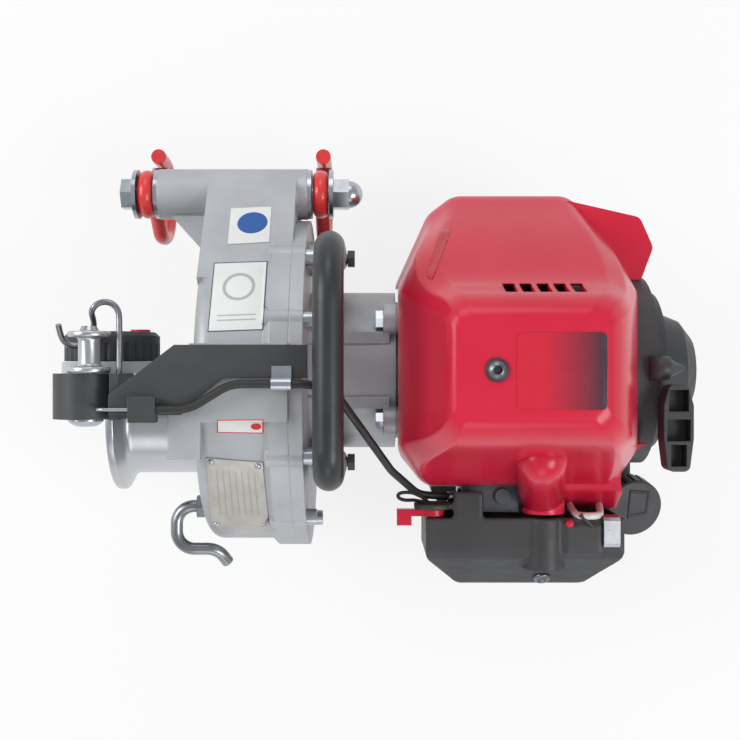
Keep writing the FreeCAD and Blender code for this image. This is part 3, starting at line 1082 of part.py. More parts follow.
def lobe(name, inset, below):
    # The part of the skirt beside the post that reaches forward and down over the fuel cap.
    w = inset
    plan = padded(name + "_plan", "XY", [
        ("lobe_left + (%s)" % w, "crank_y - lobe_root"),
        ("lobe_left + (%s)" % w, "crank_y - lobe_out + (%s)" % w),
        ("lobe_right - (%s)" % w, "crank_y - lobe_out + (%s)" % w),
        ("lobe_right - (%s)" % w, "crank_y - hood_near + (%s)" % w, "lobe_arc + (%s)" % w, -1),
        ("hood_tail - hood_wall - (%s)" % w, "crank_y - lobe_root")],
        "lobe_high - lobe_low + overrun", (0, 0, "crank_z + lobe_low - (%s)" % below))
    side = padded(name + "_side", "YZ", [
        ("crank_y - lobe_root", "crank_z + lobe_low - (%s)" % below),
        ("crank_y - lobe_root", "crank_z + lobe_high - (%s)" % w),
        ("crank_y - hood_near", "crank_z + hood_mouth + lobe_round - (%s)" % w),
        ("crank_y - lobe_out + (%s)" % w, "crank_z + lobe_low + lobe_round * 2 - (%s)" % w),
        ("crank_y - lobe_out + (%s)" % w, "crank_z + lobe_low - (%s)" % below)],
        "hood_long", ("hood_left", 0, 0), "lobe_round - (%s) / 2" % w, (0, 1, 4))
    return common(name, [plan, side])


skin = hood("hood_skin", 0, 0)
core = hood("hood_core", num("hood_wall"), num("overrun"))
skin_lobe = lobe("lobe_skin", "0", "0")
core_lobe = lobe("lobe_core", "hood_wall", "overrun")
post = cyl("hood_post", "post_radius", "post_out - lobe_root", ("post_x", "post_y", "post_z"), "y")
flap = padded("hood_flap", "XY", [
    ("hood_left + flap_in", "crank_y + flap_front"), ("hood_tail", "crank_y + flap_front"),
    ("hood_left + flap_out", "crank_y + (flap_front + flap_back) / 2"),
    ("hood_tail + flap_thick", "crank_y + flap_back - flap_thick * 4"),
    ("hood_left + flap_in", "crank_y + flap_back")],
    "flap_thick", (0, 0, "crank_z + flap_rise"), "flap_round", (0, 4))
hood_cuts = [core, core_lobe]
hood_cuts.append(box("hood_notch", ("hood_left - overrun", "hood_left + notch_deep"),
                     ("crank_y - notch_half", "crank_y + notch_half"),
                     ("hood_base_z - 2 * overrun", "crank_z + notch_rise")))
hood_cuts.append(box("hood_mouth_room", ("hood_left - overrun", "post_x"),
                     ("crank_y - hood_near - overrun", "crank_y - lobe_root"),
                     ("hood_base_z - 2 * overrun", "crank_z + hood_mouth")))
hood_cuts.append(cyl("hood_fan_room", "fan_radius + seat_gap", "hood_long",
                     shifted(crank_at, "fan_start - overrun")))
for k in range(SLOT_COUNT):
    middle = "hood_left + slot_in + slot_pitch * %g" % (k - (SLOT_COUNT - 1) / 2)
    hood_cuts.append(box("hood_slot", (middle + " - slot_width / 2", middle + " + slot_width / 2"),
                         ("crank_y + slot_back - slot_high / 2", "crank_y + slot_back + slot_high / 2"),
                         ("hood_top - slot_deep", "hood_top")))
for k in range(LOUVRE_COUNT):
    middle = "crank_y + louvre_pitch * %g" % (k - (LOUVRE_COUNT - 1) / 2)
    hood_cuts.append(box("hood_louvre", ("hood_tail - hood_wall - 2 * louvre_deep", "hood_tail"),
                         (middle + " - louvre_width / 2", middle + " + louvre_width / 2"),
                         ("crank_z + louvre_rise - louvre_high / 2",
                          "crank_z + louvre_rise + louvre_high / 2")))
hood_cuts.append(cyl("hood_screw_hole", "hood_screw_shank + bolt_slack", "2 * hood_wall + 2 * overrun",
                     ("bore_x", "crank_y", "hood_top - hood_wall - overrun"), "z"))
node("top_cover", cut("top_cover", fuse("hood_all", [skin, skin_lobe, post, flap]), hood_cuts))
screw_head = turned("hood_screw_dome", [
    ("0", "0"), ("0", "hood_screw_radius"),
    ("hood_screw_head / 3", "hood_screw_radius", "hood_screw_radius", -1),
    ("hood_screw_head", "hood_screw_radius / 2"), ("hood_screw_head", "0")],
    ("bore_x", "crank_y", "hood_top"), "z")
screw_stem = cyl("hood_screw_stem", "hood_screw_shank", "head_room + hood_screw_head / 2",
                 ("bore_x", "crank_y", "head_top"), "z")
screw_hex = hexagon("hood_screw_hex", "hood_screw_shank * 3 / 2", "hood_screw_head",
                    ("bore_x", "crank_y", "hood_top + hood_screw_head / 3"), "z")
node("top_cover_screw", cut("top_cover_screw", fuse("hood_screw", [screw_head, screw_stem]), [screw_hex]))

# Fan cover and recoil starter
node("fan_cover", turned("fan_cover", [
    ("fan_start", "fan_radius - fan_wall"), ("fan_start", "fan_radius"), ("fan_end", "fan_radius"),
    ("fan_end", "fan_lip - fan_wall"), ("fan_end - fan_wall", "fan_lip - fan_wall"),
    ("fan_end - fan_wall", "fan_radius - fan_wall")], crank_at))
recoil_cup = turned("recoil_cup", [
    ("fan_end", "recoil_radius"), ("fan_end + recoil_rim", "recoil_rim_radius"),
    ("fan_end + recoil_rim + recoil_step", "recoil_nose_radius"),
    ("fan_end + recoil_nose", "recoil_tip_radius"), ("fan_end + recoil_end", "recoil_end_radius"),
    ("fan_end + recoil_end", "0"), ("reel_x - recoil_wall", "0"), ("reel_x - recoil_wall", "reel_post"),
    ("fan_end + recoil_end - recoil_wall", "reel_post"),
    ("fan_end + recoil_end - recoil_wall", "recoil_end_radius - recoil_wall"),
    ("fan_end + recoil_nose - recoil_wall", "recoil_tip_radius - recoil_wall"),
    ("fan_end + recoil_rim - recoil_step", "recoil_nose_radius - recoil_wall"),
    ("fan_end + recoil_rim - recoil_step", "recoil_rim_radius - recoil_wall"),
    ("fan_end", "recoil_radius - recoil_wall")], crank_at)
bush = cyl("recoil_bush", "bush_radius", "handle_lift - reel_radius - seat_gap",
           ("rope_x", "rope_y", "crank_z + reel_radius"), "z")
recoil_cuts = [cyl("recoil_rope_hole", "rope_radius + bolt_slack", "handle_lift",
                   ("rope_x", "rope_y", "crank_z + reel_post"), "z")]
for k in range(SLIT_COUNT):
    start, out, wide, inner, outer = nums("fan_end + recoil_nose", "recoil_end", "recoil_slot",
                                          "recoil_slot_in", "recoil_slot_out")
    slit = Part.makeBox(out, wide, outer - inner, V(start, -wide / 2, inner))
    slit.rotate(V(), V(1, 0, 0), 360 / SLIT_COUNT * k)
    recoil_cuts.append(computed("recoil_slit", slit, crank_at))
node("recoil_housing", cut("recoil_housing", fuse("recoil_solid", [recoil_cup, bush]), recoil_cuts))
node("starter_reel", turned("starter_reel", [
    ("reel_x", "reel_post + run_fit"), ("reel_x", "reel_radius + rope_radius"),
    ("reel_x + reel_width / 6", "reel_radius + rope_radius"),
    ("reel_x + reel_width / 6", "reel_radius - 2 * rope_radius"),
    ("reel_x + reel_width * 5 / 6", "reel_radius - 2 * rope_radius"),
    ("reel_x + reel_width * 5 / 6", "reel_radius + rope_radius"),
    ("reel_x + reel_width", "reel_radius + rope_radius"),
    ("reel_x + reel_width", "reel_post + run_fit")], crank_at))
node("starter_rope", cyl("starter_rope", "rope_radius", "handle_lift + rope_tail + handle_wall",
                         ("rope_x", "rope_y", "crank_z - rope_tail"), "z"))

# Starter handle: a barrel-shaped grip with three cells and a floor that holds the rope
HANDLE_SHARES = [(-0.36, -0.5), (0.36, -0.5), (0.5, -0.12), (0.5, 0.26), (0.30, 0.5), (-0.30, 0.5),
                 (-0.5, 0.26), (-0.5, -0.12)]
CELL_SHARES = [(-0.44, 0.52), (-0.15, 0.78), (0.19, 0.66)]
cell_share = 0.25
grip_x, grip_y = "(rope_x - handle_in)", "(rope_y - handle_down)"
grip_body = padded("handle_body", "XY", [
    ("%s + handle_wide * %g" % (grip_x, a), "%s + handle_long * %g" % (grip_y, b))
    for a, b in HANDLE_SHARES],
    "handle_high", (0, 0, "handle_z"), "handle_round")
cells = []
for start, wide in CELL_SHARES:
    half = "handle_wide * %g / 2" % wide
    near = "%s + handle_long * %g" % (grip_y, start)
    cells.append(box("handle_cell", ("%s - %s" % (grip_x, half), "%s + %s" % (grip_x, half)),
                     (near, "%s + handle_long * %g" % (near, cell_share)),
                     ("handle_z + handle_wall * 3 / 2", "handle_z + handle_high + overrun")))
cells.append(cyl("handle_rope_hole", "rope_radius", "handle_high",
                 ("rope_x", "rope_y", "handle_z - overrun"), "z"))
node("starter_handle", cut("starter_handle", grip_body, cells))

# Muffler, carburettor and throttle lever
muffler_x = ("engine_x + muffler_in", "block_end")
muffler_z = ("crank_z - muffler_low", "crank_z + muffler_high")
node("muffler", padded("muffler", "XZ", [
    (muffler_x[0], muffler_z[0]), (muffler_x[1], muffler_z[0]), (muffler_x[1], muffler_z[1]),
    (muffler_x[0], muffler_z[1])], "muffler_deep", (0, "crank_y + block_radius", 0), "muffler_round"))
carb_mid = ("(carb_left + carb_right) / 2", "(carb_front + carb_back) / 2")
lever_at = ("carb_left - seat_gap", "lever_y", "lever_z")
carb_body = box("carb_body", ("carb_left", "carb_right"), ("carb_front", "carb_back"),
                ("crank_z + carb_low", "crank_z + carb_high"))
carb_bowl = cyl("carb_bowl", "carb_bowl_radius", "carb_bowl_radius",
                carb_mid + ("crank_z + carb_low - carb_bowl_radius",), "z")
carb_top = cyl("carb_top", "carb_screw", "carb_screw / 2",
               ("carb_right - carb_screw * 2", "carb_front + carb_screw * 2", "crank_z + carb_high"), "z")
carb_post = cyl("carb_post", "lever_post", "lever_thick + 2 * seat_gap",
                ("carb_left", "lever_y", "lever_z"), "-x")
node("carburettor", fuse("carburettor", [carb_body, carb_bowl, carb_top, carb_post]))
lever_hub = cyl("lever_hub", "lever_radius", "lever_thick", lever_at, "-x")
lever_bar = box("lever_bar", ("carb_left - seat_gap - lever_thick", "carb_left - seat_gap"),
                ("lever_y - lever_post", "lever_y + lever_post"), ("lever_z", "lever_z + lever_arm"))
lever_hole = cyl("lever_hole", "lever_post + run_fit", "lever_thick + 2 * overrun",
                 shifted(lever_at, "carb_left + overrun / 2"), "-x")
node("throttle_lever", cut("throttle_lever", fuse("lever_solid", [lever_hub, lever_bar]), [lever_hole]))


# Air cleaner: a cover whose chamfered plan is crossed by its sloping side, open to the carburettor
def cleaner(name, w, deep):
    plan = padded(name + "_plan", "XY", [
        ("filter_left + (%s)" % w, "filter_mouth + (%s)" % deep),
        ("filter_left + (%s)" % w, "filter_front + filter_side + (%s)" % w),
        ("filter_left + filter_corner + (%s) / 2" % w, "filter_front + (%s)" % w),
        ("filter_right - filter_corner - (%s) / 2" % w, "filter_front + (%s)" % w),
        ("filter_right - (%s)" % w, "filter_front + filter_side + (%s)" % w),
        ("filter_right - (%s)" % w, "filter_mouth + (%s)" % deep)],
        "filter_high + filter_low", (0, 0, "filter_floor"), "filter_round - (%s)" % w, (0, 5))
    side = padded(name + "_side", "YZ", [
        ("filter_mouth + (%s)" % deep, "filter_floor + (%s)" % w),
        ("filter_front + (%s)" % w, "filter_floor + (%s)" % w),
        ("filter_front + (%s)" % w, "filter_top - filter_brow - (%s) / 2" % w),
        ("filter_front + filter_slope + (%s) / 2" % w, "filter_top - (%s)" % w),
        ("filter_mouth + (%s)" % deep, "filter_top - (%s)" % w)],
        "filter_long", ("filter_left", 0, 0), "filter_round - (%s)" % w, (0, 4))
    return common(name, [plan, side])


cleaner_post = cyl("cleaner_post", "post_radius", "filter_post - seat_gap",
                   ("post_x", "filter_post_end", "post_z"), "y")
cleaner_tab = box("cleaner_tab",
                  ("filter_left + filter_tab_in", "filter_left + filter_tab_in + filter_tab_wide"),
                  ("filter_mouth - filter_wall * 2", "filter_mouth + filter_tab_deep"),
                  ("filter_top - filter_wall", "filter_top"))
cleaner_pad = box("cleaner_pad", ("filter_left + pad_in", "filter_left + pad_in + pad_wide"),
                  ("filter_mouth - pad_start - pad_deep", "filter_mouth - pad_start"),
                  ("filter_top - filter_wall", "filter_top + pad_proud"))
choke_boss = cyl("choke_boss_rod", "choke_boss", "filter_slope",
                 ("choke_x", "filter_mouth", "choke_z"), "-y")
choke_pivot = cyl("choke_pivot", "choke_post",
                  "filter_slope + choke_thick + choke_disc_thick + 3 * seat_gap",
                  ("choke_x", "filter_mouth - filter_slope", "choke_z"), "y")
choke_plate = cyl("choke_plate", "choke_disc", "choke_disc_thick",
                  ("choke_x", "choke_back + seat_gap", "choke_z"), "y")
cleaner_room = cleaner("cleaner_room", "filter_wall", "overrun")
cleaner_skin = cut("cleaner_shell", cleaner("cleaner_skin", "0", "0"), [cleaner_room])
cleaner_boss = common("cleaner_boss", [fuse("cleaner_boss_rods", [cleaner_post, choke_boss]),
                                       cleaner("cleaner_bounds", "0", "0")])
cleaner_solid = fuse("cleaner_solid", [cleaner_skin, cleaner_boss, cleaner_post, cleaner_tab, cleaner_pad,
                                       choke_pivot, choke_plate])
cleaner_hole = cyl("cleaner_screw_hole", "six_radius * 2", "filter_wall + overrun",
                   ("post_x", "filter_post_end - overrun", "post_z"), "y")
node("air_cleaner", cut("air_cleaner", cleaner_solid, [cleaner_hole]))
node("air_filter", box("air_filter", ("filter_left + filter_corner", "filter_right - filter_corner"),
                       ("filter_mouth - filter_foam", "filter_mouth - seat_gap"),
                       ("filter_floor + filter_wall", "post_z - post_radius - filter_wall")))
choke_y = ("choke_back - choke_thick", "choke_back")
choke_hub = cyl("choke_hub_disc", "choke_hub", "choke_thick", ("choke_x", choke_y[0], "choke_z"), "y")
choke_bar = box("choke_bar", ("choke_x - choke_long", "choke_x"), choke_y,
                ("choke_z - choke_half", "choke_z + choke_half"))
choke_grip = box("choke_grip", ("choke_x - choke_long", "choke_x - choke_long + choke_paddle"),
                 (choke_y[0] + " - choke_lip", choke_y[1]),
                 ("choke_z - choke_half", "choke_z + choke_half"))
choke_hole = cyl("choke_hole", "choke_post + run_fit", "choke_thick + 2 * overrun",
                 ("choke_x", choke_y[0] + " - overrun", "choke_z"), "y")
node("choke_lever", cut("choke_lever", fuse("choke_solid", [choke_hub, choke_bar, choke_grip]),
                        [choke_hole]))

# Fuel tank under the engine, with a leaning filler neck and a ribbed cap
NECK_LEAN = FreeCAD.Rotation(V(1, 0, 0), V(0.20, -0.25, 1))
neck_at = ("neck_x", "neck_y", "neck_low")
tank_x = ("engine_x + tank_in", "engine_x + tank_in + tank_long")
tank_y = ("crank_y - tank_front", "crank_y + tank_back")
tank_body = padded("tank_body", "XY", [
    (tank_x[0], tank_y[0]), (tank_x[1], tank_y[0]), (tank_x[1], tank_y[1]), (tank_x[0], tank_y[1])],
    "tank_high", soft="tank_round")
tank_neck = turned("tank_neck", [
    ("0", "0"), ("0", "neck_radius"), ("neck_long", "neck_radius"), ("neck_long", "0")], neck_at, NECK_LEAN)
node("fuel_tank", fuse("fuel_tank", [tank_body, tank_neck]))
cap_low, cap_high = "neck_long - cap_cover", "neck_long - cap_cover + cap_deep"
cap = turned("cap_body", [
    ("neck_long + seat_gap", "0"), ("neck_long + seat_gap", "neck_radius + seat_gap"),
    (cap_low, "neck_radius + seat_gap"), (cap_low, "cap_over"), (cap_high + " - cap_rib", "cap_over"),
    (cap_high, "cap_over - cap_rib"), (cap_high, "0")], neck_at, NECK_LEAN)
grooves = []
for k in range(CAP_RIB_COUNT):
    rib, over, start, deep = nums("cap_rib", "cap_over", cap_low + " - cap_rib", "cap_deep")
    groove = Part.makeCylinder(rib, deep, V(start, over + rib / 3, 0), V(1, 0, 0))
    groove.rotate(V(), V(1, 0, 0), 360 / CAP_RIB_COUNT * k)
    grooves.append(groove)
cap_grooves = computed("cap_grooves", grooves[0].multiFuse(grooves[1:]), neck_at, NECK_LEAN)
node("fuel_cap", cut("fuel_cap", cap, [cap_grooves]))

doc.recompute()
faults = [obj.Label for obj in doc.Objects if "Invalid" in obj.State or "Error" in obj.State]
faults += [obj.Label for obj in nodes
           if obj.Shape.isNull() or not obj.Shape.isValid() or not obj.Shape.Solids]
if faults:
    raise RuntimeError("unsound: " + ", ".join(faults))
os.makedirs("parts", exist_ok=True)
for obj in nodes:
    obj.Shape.exportStep("parts/%s.step" % obj.Label)
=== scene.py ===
"""Finishes, labels, small trim and studio for a portable petrol capstan winch, in metres."""
import json
import math

import bmesh
import bpy
import numpy
from mathutils import Matrix, Vector


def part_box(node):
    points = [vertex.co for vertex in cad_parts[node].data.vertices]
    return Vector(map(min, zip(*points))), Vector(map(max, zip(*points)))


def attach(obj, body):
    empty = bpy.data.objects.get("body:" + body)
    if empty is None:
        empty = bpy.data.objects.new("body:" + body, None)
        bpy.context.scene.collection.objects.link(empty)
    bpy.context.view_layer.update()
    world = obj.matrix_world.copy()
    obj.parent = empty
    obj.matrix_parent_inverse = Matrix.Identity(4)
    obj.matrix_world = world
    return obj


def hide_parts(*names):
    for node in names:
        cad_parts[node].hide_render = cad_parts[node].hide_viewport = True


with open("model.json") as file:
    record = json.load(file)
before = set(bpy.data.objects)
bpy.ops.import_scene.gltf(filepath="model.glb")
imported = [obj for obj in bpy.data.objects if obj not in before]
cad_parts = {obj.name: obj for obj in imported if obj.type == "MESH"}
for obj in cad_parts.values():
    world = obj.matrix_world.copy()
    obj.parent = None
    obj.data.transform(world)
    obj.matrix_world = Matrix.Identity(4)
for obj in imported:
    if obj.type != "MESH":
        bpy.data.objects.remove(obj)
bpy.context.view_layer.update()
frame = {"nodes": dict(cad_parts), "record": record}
nodes = frame["nodes"]
record = frame["record"]
scene = bpy.context.scene
MM = 0.001
MICRON = 0.000001

# Camera: straight down on the winch, as the photograph was taken
PHOTO_PIXELS = 740
FOCAL_PIXELS = 1154
SENSOR = 36
CAMERA_AT = Vector((75, 8, 850)) * MM


def make_camera():
    data = bpy.data.cameras.new("camera")
    data.sensor_width = SENSOR
    data.lens = FOCAL_PIXELS / PHOTO_PIXELS * SENSOR
    camera = bpy.data.objects.new("camera", data)
    camera.location = CAMERA_AT
    scene.collection.objects.link(camera)
    scene.camera = camera


def pixel_ray(x, y):
    """Direction from the camera through a pixel of the photograph."""
    middle = PHOTO_PIXELS / 2
    return Vector(((x - middle) / FOCAL_PIXELS, (middle - y) / FOCAL_PIXELS, -1)).normalized()


# Finishes
FACE = "face"
COAT_ROUGHNESS = 0.12
LINE_WANDER = 0.05
BEVEL_SAMPLES = 6
CORNER_BEND = (0.80, 0.985)
GRAIN_DETAIL = 2.0
PATCHES_PER_CLOUD = 6
PATCH_RANGE = (0.15, 1.0)
SMEARS_PER_CLOUD = 3
SMEAR_DETAIL = 5.0
SMEAR_STRETCH = (1, 1, 3)


class Finish:
    """A Principled material whose colour, roughness and height come from procedural patterns."""

    def __init__(self, name, metallic=0.0, coat=0.0):
        self.material = bpy.data.materials.new(name)
        self.material.use_nodes = True
        self.tree = self.material.node_tree
        self.shader = self.tree.nodes["Principled BSDF"]
        self.shader.inputs["Metallic"].default_value = metallic
        self.shader.inputs["Coat Weight"].default_value = coat
        self.shader.inputs["Coat Roughness"].default_value = COAT_ROUGHNESS
        self.space = self.add("ShaderNodeTexCoord").outputs["Object"]
        self.face = self.space
        self.normal = None

    def add(self, kind, **settings):
        made = self.tree.nodes.new(kind)
        for key, value in settings.items():
            setattr(made, key, value)
        return made

    def feed(self, socket, source):
        """Links a socket to another one, or sets its value."""
        if isinstance(source, bpy.types.NodeSocket):
            self.tree.links.new(source, socket)
        else:
            socket.default_value = source

    def noise(self, size, detail=3.0, stretch=(1, 1, 1)):
        """A cloudy pattern with features of about this size."""
        mapping = self.add("ShaderNodeMapping")
        mapping.inputs["Scale"].default_value = stretch
        self.feed(mapping.inputs["Vector"], self.space)
        cloud = self.add("ShaderNodeTexNoise")
        self.feed(cloud.inputs["Vector"], mapping.outputs["Vector"])
        cloud.inputs["Scale"].default_value = 1 / size
        cloud.inputs["Detail"].default_value = detail
        return cloud.outputs["Fac"]

    def bands(self, direction, size):
        """Fine lines across one axis, as a cutting tool leaves them."""
        wave = self.add("ShaderNodeTexWave", wave_type="BANDS", bands_direction=direction)
        self.feed(wave.inputs["Vector"], self.space)
        wave.inputs["Scale"].default_value = 1 / size
        wave.inputs["Distortion"].default_value = LINE_WANDER
        wave.inputs["Detail"].default_value = 0
        return wave.outputs["Fac"]

    def remap(self, source, low, high, start=0.3, end=0.7):
        """Turns a value between start and end into one between low and high."""
        made = self.add("ShaderNodeMapRange")
        self.feed(made.inputs["Value"], source)
        for name, value in zip(("From Min", "From Max", "To Min", "To Max"), (start, end, low, high)):
            made.inputs[name].default_value = value
        return made.outputs["Result"]

    def blend(self, factor, one, two):
        """A colour between two others."""
        made = self.add("ShaderNodeMix", data_type="RGBA")
        self.feed(made.inputs[0], factor)
        for socket, colour in ((made.inputs[6], one), (made.inputs[7], two)):
            self.feed(socket, colour if isinstance(colour, bpy.types.NodeSocket) else (*colour, 1))
        return made.outputs[2]

    def math(self, operation, one, two=0.0):
        made = self.add("ShaderNodeMath", operation=operation)
        self.feed(made.inputs[0], one)
        self.feed(made.inputs[1], two)
        return made.outputs[0]

    def spread(self, size):
        """Measures the face of a label from its centre, along its own width and height."""
        mapping = self.add("ShaderNodeMapping")
        mapping.inputs["Location"].default_value = (-size[0] / 2, -size[1] / 2, 0)
        mapping.inputs["Scale"].default_value = (*size, 1)
        self.feed(mapping.inputs["Vector"], self.add("ShaderNodeUVMap", uv_map=FACE).outputs["UV"])
        self.face = mapping.outputs["Vector"]

    def along(self, axis):
        """The place on the face along its own X or Y."""
        parts = self.add("ShaderNodeSeparateXYZ")
        self.feed(parts.inputs[0], self.face)
        return parts.outputs[axis]

    def offset(self, axis, middle):
        """Distance from a line across the face's own X or Y."""
        return self.math("ABSOLUTE", self.math("SUBTRACT", self.along(axis), middle))

    def block(self, middle, size):
        """A mask that is 1 inside a rectangle on the face of the piece."""
        over = []
        for axis in (0, 1):
            over.append(self.math("SUBTRACT", self.offset(axis, middle[axis]), size[axis] / 2))
        return self.math("LESS_THAN", self.math("MAXIMUM", *over), 0.0)

    def disc(self, middle, radius):
        """A mask that is 1 inside a circle on the face of the piece."""
        squares = [self.math("POWER", self.offset(axis, middle[axis]), 2.0) for axis in (0, 1)]
        return self.math("LESS_THAN", self.math("ADD", *squares), radius ** 2)

    def soften(self, radius):
        """Rounds the shading at corners and returns a mask that is bright there."""
        round_node = self.add("ShaderNodeBevel", samples=BEVEL_SAMPLES)
        round_node.inputs["Radius"].default_value = radius
        plane = self.add("ShaderNodeNewGeometry")
        dot = self.add("ShaderNodeVectorMath", operation="DOT_PRODUCT")
        self.feed(dot.inputs[0], round_node.outputs["Normal"])
        self.feed(dot.inputs[1], plane.outputs["Normal"])
        self.normal = round_node.outputs["Normal"]
        return self.remap(dot.outputs["Value"], 1.0, 0.0, *CORNER_BEND)

    def bump(self, height, depth):
        """Adds a relief on top of the shading so far."""
        made = self.add("ShaderNodeBump")
        made.inputs["Distance"].default_value = depth
        made.inputs["Strength"].default_value = 1.0
        self.feed(made.inputs["Height"], height)
        if self.normal is not None:
            self.feed(made.inputs["Normal"], self.normal)
        self.normal = made.outputs["Normal"]

    def finish(self, colour, roughness):
        self.feed(self.shader.inputs["Base Color"], colour)
        self.feed(self.shader.inputs["Roughness"], roughness)
        if self.normal is not None:
            self.feed(self.shader.inputs["Normal"], self.normal)
        return self.material


def surface(name, dark, light, rough, metallic=0.0, coat=0.0, cloud=30 * MM, grain=0.6 * MM,
            depth=6 * MICRON, edge=0.6 * MM, wear=None, lines=None, shine=0.5):
    """Cloudy colour between two shades, uneven gloss, a fine skin and slightly worn corners."""
    made = Finish(name, metallic, coat)
    made.shader.inputs["Specular IOR Level"].default_value = shine
    clouds = made.noise(cloud)
    colour = made.blend(made.remap(clouds, 0, 1), dark, light)
    corners = made.soften(edge) if edge else None
    if wear is not None:
        patchy = made.remap(made.noise(cloud / PATCHES_PER_CLOUD), *PATCH_RANGE)
        colour = made.blend(made.math("MULTIPLY", corners, patchy), colour, wear)
    if lines is not None:
        direction, pitch, groove = lines
        made.bump(made.bands(direction, pitch), groove)
    made.bump(made.noise(grain, GRAIN_DETAIL), depth)
    smears = made.noise(cloud / SMEARS_PER_CLOUD, SMEAR_DETAIL, SMEAR_STRETCH)
    return made.finish(colour, made.remap(smears, *rough))


def grey(value, tint=0.0):
    """A neutral shade, tinted towards blue."""
    return (value * (1 - tint), value, value * (1 + 2 * tint))


TURNING_PITCH = 2.4 * MM
TURNING_DEPTH = 4 * MICRON

# One look for every material slot of the nodes
FINISHES = {
    "cast_aluminium": dict(dark=grey(0.42, 0.02), light=grey(0.50, 0.02), rough=(0.46, 0.58), metallic=0.6,
                           grain=0.9 * MM, depth=50 * MICRON, edge=1.0 * MM, wear=grey(0.60, 0.02)),
    "polished_aluminium": dict(dark=grey(0.50, 0.02), light=grey(0.58, 0.02), rough=(0.28, 0.32),
                               metallic=0.95, cloud=60 * MM, depth=0.5 * MICRON, edge=None,
                               lines=("X", TURNING_PITCH, TURNING_DEPTH)),
    "zinc_steel": dict(dark=grey(0.42, 0.04), light=grey(0.54, 0.04), rough=(0.27, 0.30), metallic=1.0,
                       cloud=12 * MM, depth=1 * MICRON, edge=None),
    "gear_steel": dict(dark=grey(0.30, 0.02), light=grey(0.38, 0.02), rough=(0.24, 0.38), metallic=1.0),
    "black_paint": dict(dark=grey(0.038, 0.03), light=grey(0.050, 0.03), rough=(0.40, 0.54),
                        grain=1.1 * MM, depth=40 * MICRON, edge=0.8 * MM, wear=grey(0.12, 0.03)),
    "gloss_black": dict(dark=grey(0.020, 0.06), light=grey(0.027, 0.06), rough=(0.32, 0.42),
                        grain=4 * MM, depth=20 * MICRON),
    "black_plastic": dict(dark=grey(0.030, 0.03), light=grey(0.040, 0.03), rough=(0.42, 0.56),
                          grain=0.7 * MM, depth=40 * MICRON, edge=0.9 * MM, wear=grey(0.08, 0.03)),
    "grey_plastic": dict(dark=grey(0.46, 0.02), light=grey(0.54, 0.02), rough=(0.38, 0.50)),
    "dark_plastic": dict(dark=grey(0.036, 0.03), light=grey(0.050, 0.03), rough=(0.42, 0.56),
                         grain=0.8 * MM, depth=40 * MICRON, edge=0.8 * MM),
    "red_plastic": dict(dark=(0.56, 0.012, 0.038), light=(0.62, 0.016, 0.048), rough=(0.24, 0.26),
                        shine=0.36, cloud=60 * MM, grain=1.5 * MM, depth=3 * MICRON, edge=1.6 * MM),
    "red_paint": dict(dark=(0.66, 0.032, 0.032), light=(0.76, 0.042, 0.040), rough=(0.22, 0.32), coat=0.2,
                      cloud=10 * MM, grain=2 * MM, depth=30 * MICRON, edge=0.8 * MM),
    "engine_alloy": dict(dark=grey(0.30), light=grey(0.40), rough=(0.44, 0.60), metallic=0.8,
                         grain=1.2 * MM, depth=100 * MICRON),
    "dark_steel": dict(dark=(0.10, 0.085, 0.075), light=(0.17, 0.15, 0.135), rough=(0.38, 0.55),
                       metallic=0.9),
    "cable_jacket": dict(dark=grey(0.018), light=grey(0.026), rough=(0.42, 0.56), cloud=8 * MM,
                         grain=0.8 * MM),
    "rope_fibre": dict(dark=grey(0.05), light=grey(0.11), rough=(0.70, 0.85), cloud=2 * MM,
                       lines=("Z", 2.2 * MM, 300 * MICRON)),
    "foam": dict(dark=grey(0.03), light=grey(0.06), rough=(0.85, 0.95), grain=1.2 * MM,
                 depth=400 * MICRON),
}

# Looks of single pieces, which differ from the look of their slot
OWN_LOOKS = {
    "turned_metal": dict(FINISHES["polished_aluminium"], lines=("Z", TURNING_PITCH, TURNING_DEPTH)),
    "screw_steel": dict(dark=grey(0.16, 0.04), light=grey(0.24, 0.04), rough=(0.26, 0.40), metallic=1.0,
                        cloud=8 * MM),
    "carb_metal": dict(dark=grey(0.07, 0.08), light=grey(0.12, 0.08), rough=(0.34, 0.50), metallic=0.8,
                       cloud=12 * MM, grain=1.0 * MM, depth=60 * MICRON),
    "wire_steel": dict(dark=grey(0.26, 0.03), light=grey(0.34, 0.03), rough=(0.26, 0.34), metallic=1.0,
                       cloud=12 * MM, depth=2 * MICRON, edge=None),
    "clip_steel": dict(dark=grey(0.50, 0.03), light=grey(0.58, 0.03), rough=(0.26, 0.34), metallic=1.0,
                       cloud=12 * MM, depth=2 * MICRON, edge=None),
    "clear_hose": dict(dark=(0.62, 0.60, 0.58), light=(0.74, 0.72, 0.70), rough=(0.22, 0.34), coat=0.2,
                       cloud=10 * MM),
    # Painted shade: the cover's recess is a darker red that stands in for the shade inside it
    "cover_recess_painted_shade": dict(dark=(0.44, 0.008, 0.020), light=(0.52, 0.010, 0.028), rough=(0.24, 0.30),
                         depth=3 * MICRON),
}
NODE_LOOKS = {
    "top_cover_screw": "screw_steel",
    "carburettor": "carb_metal",
    "entry_nut": "screw_steel",
    "entry_hook": "wire_steel",
    "fan_cover": "dark_plastic",
    "handle_bolts": "gloss_black",
}
bpy.context.view_layer.update()
materials = {name: surface(name, **looks) for name, looks in (FINISHES | OWN_LOOKS).items()}
for part in record["subparts"]:
    shown = nodes[part["node"]]
    shown.data.materials.clear()
    shown.data.materials.append(materials[NODE_LOOKS.get(part["node"], part["material_slot"])])

